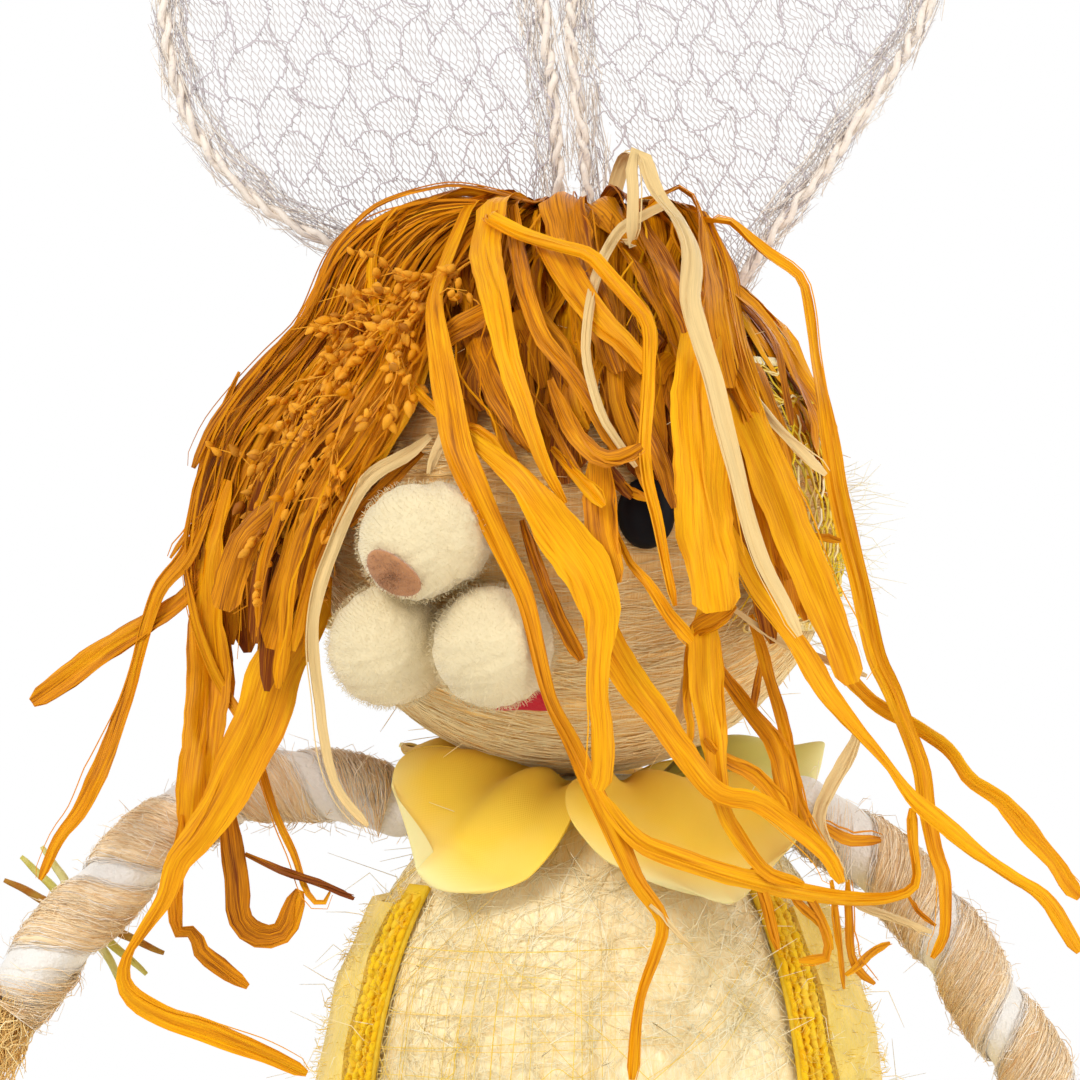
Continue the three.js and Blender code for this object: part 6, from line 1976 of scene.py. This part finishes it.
class RABBIT_OT_ears(bpy.types.Operator):
    """Ears: hoops bound with two-ply cord, with a fine net and a coarse web stretched in them"""

    bl_idname = "rabbit.ears"
    bl_label = "Ears"

    def execute(self, context):
        for number, side in enumerate(("left", "right")):
            rng = np.random.default_rng(121 + number)
            body = "ear_" + side
            line = spline(hoop_line(side), HOOP_STEPS)
            run = run_length(line)
            _, normal, across = frames(line, BACKWARD)
            middle = line.mean(0)
            inward = across * np.sign(((middle - line) * across).sum(-1, keepdims=True))
            ply = sizes().cord_ply
            parts = []
            # The turn of the two plies runs on unevenly
            twist = TURN * run / TWIST_PITCH + 1.3 * wander(rng, 1, HOOP_STEPS, (5, 9))[0]
            for start in (0, np.pi):
                turn = (twist + start)[:, None]
                coil = line + 0.9 * ply * (inward * np.cos(turn) + normal * np.sin(turn))
                shake = [wander(rng, 1, HOOP_STEPS, (20, 40))[0] for _ in range(3)]
                coil = coil + 0.25 * np.stack(shake, -1)
                wool = 1 + 0.12 * wander(rng, 1, HOOP_STEPS, (40, 80)).T
                wool = ply * (wool + 0.03 * rng.normal(size=(HOOP_STEPS, 7)))
                shape = round_tubes(coil[None], BACKWARD, wool[None, :, :, None], 7)
                parts.append((shape, np.clip(0.55 + 0.12 * rng.normal(size=len(shape[0])), 0, 1)))
            count = CORD_HAIRS
            at = rng.integers(2, HOOP_STEPS - 2, count)
            a = rng.uniform(0, TURN, (count, 1))
            out = normal[at] * np.cos(a) + across[at] * np.sin(a)
            hair = fuzz(rng, line[at] + out * 1.6, out, 1.7, 0.06, 1.1)
            parts.append((hair, each(rng.uniform(0.4, 1, count), hair)))
            # The net's gathered edge: short threads beside the cord, most of them inside the hoop
            count, long = EDGE_THREADS, 5
            t = np.linspace(-1, 1, long)[None]
            at = rng.integers(8, HOOP_STEPS - 8, (count, 1)) + t * rng.uniform(4, 17, (count, 1))
            at = np.clip(at, 0, HOOP_STEPS - 1)
            base, way = (np.stack([np.interp(at, np.arange(HOOP_STEPS), v[:, k]) for k in range(3)], -1)
                         for v in (line, inward))
            beside = rng.uniform(-2.6, 5.5, (count, 1)) + rng.uniform(-1.6, 1.6, (count, 1)) * t
            deep = rng.uniform(-1.1, 1.1, (count, 1)) + 0.3 * wander(rng, count, long)
            paths = base + way * beside[..., None] + BACKWARD * deep[..., None]
            edge = fibres(paths, rng.uniform(0.08, 0.16, count))
            parts.append((edge, each(rng.uniform(0, 0.8, count), edge)))
            shape, tone = gathered(parts)
            piece("ear_cord_" + side, shape, "ear_cord", body=body, tone=tone,
                  stands_for=["ear_hoop_" + side])

            outline = line[::4][:, [0, 2]]
            low, high = outline.min(0), outline.max(0)
            phase = rng.uniform(0, TURN, 3)

            def upended(flat, off=0.0):
                """Flat points stood upright in the hoop's plane, where the net sags in gentle waves."""
                sag = 0.7 * np.sin(flat[..., 0] / 9 + phase[0]) * np.sin(flat[..., 1] / 14 + phase[1])
                return np.stack([flat[..., 0], EAR_Y + sag + off, flat[..., 1]], -1)

            wide = sizes().net_cell
            nodes, links = honeycomb(low, high, wide, wide * 1.55, 0.5)
            nodes = nodes + 0.07 * wide * rng.normal(size=nodes.shape)
            # The web draws the net together: it shifts by up to half a cell in patches a web cell wide
            for k in (0, 1):
                nodes[:, k] += 0.33 * wide * ripple(nodes[:, 0] / 9, nodes[:, 1] / 9, rng, 5, 0.7, 1.5)
            ends = np.stack(inner_links(nodes, links, outline), 1)
            fine = round_tubes(upended(ends), BACKWARD, sizes().thread * 0.95, 3)
            nodes, links = honeycomb(low, high, WEB_CELL, WEB_CELL * 0.95, 0.1)
            nodes = nodes + 0.17 * WEB_CELL * rng.normal(size=nodes.shape)
            a, b = inner_links(nodes, links, outline)
            t = np.linspace(0, 1, 9)[None, :, None]
            bend = rng.normal(0, 0.12, (len(a), 1, 1)) * np.linalg.norm(b - a, axis=1)[:, None, None]
            turned = np.stack([-(b - a)[:, 1], (b - a)[:, 0]], -1)
            flat = a[:, None] + (b - a)[:, None] * t + unit(turned)[:, None] * bend * 4 * t * (1 - t)
            flat[:, 1:-1] += rng.normal(0, 0.2, flat[:, 1:-1].shape)
            web = fibres(upended(flat, -0.35), 0.24)
            shape, tone = gathered([(fine, np.full(len(fine[0]), 0.1)), (web, np.full(len(web[0]), 0.5))])
            piece("ear_netting_" + side, shape, "ear_net", body=body, tone=tone,
                  stands_for=["ear_net_" + side], smooth=False)
        return {"FINISHED"}


# Inner pieces


class RABBIT_OT_hardware(bpy.types.Operator):
    """Inner pieces: foam cores, the dowel and the wires"""

    bl_idname = "rabbit.hardware"
    bl_label = "Inner pieces"

    def execute(self, context):
        for name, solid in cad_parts.items():
            for word, surface in (("core", "foam"), ("dowel", "dowel"), ("wire", "wire")):
                if word in name:
                    solid.data.materials.clear()
                    solid.data.materials.append(finish(surface))
        return {"FINISHED"}


class RABBIT_PT_panel(bpy.types.Panel):
    """Colours, sizes and building steps of the figure"""

    bl_idname = "RABBIT_PT_panel"
    bl_label = "Sisal rabbit"
    bl_space_type = "VIEW_3D"
    bl_region_type = "UI"
    bl_category = "Rabbit"

    def draw(self, context):
        for group in (context.scene.rabbit_colours, context.scene.rabbit_sizes):
            box = self.layout.box()
            for name in group.__annotations__:
                box.prop(group, name)
        for step in STEPS:
            self.layout.operator(step.bl_idname)


STEPS = (
    RABBIT_OT_stage, RABBIT_OT_torso, RABBIT_OT_head, RABBIT_OT_face, RABBIT_OT_mop, RABBIT_OT_sprig,
    RABBIT_OT_ribbon, RABBIT_OT_collar, RABBIT_OT_vest, RABBIT_OT_arms, RABBIT_OT_legs, RABBIT_OT_ears,
    RABBIT_OT_hardware,
)
CLASSES = (RabbitColours, RabbitSizes, *STEPS, RABBIT_PT_panel)


def register():
    for cls in CLASSES:
        bpy.utils.register_class(cls)
    bpy.types.Scene.rabbit_colours = bpy.props.PointerProperty(type=RabbitColours)
    bpy.types.Scene.rabbit_sizes = bpy.props.PointerProperty(type=RabbitSizes)


def unregister():
    del bpy.types.Scene.rabbit_sizes
    del bpy.types.Scene.rabbit_colours
    for cls in reversed(CLASSES):
        bpy.utils.unregister_class(cls)


def main():
    register()
    for step in STEPS:
        getattr(bpy.ops.rabbit, step.bl_idname.split(".")[1])()
    bpy.context.view_layer.update()
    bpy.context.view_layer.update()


if __name__ == "__main__":
    main()
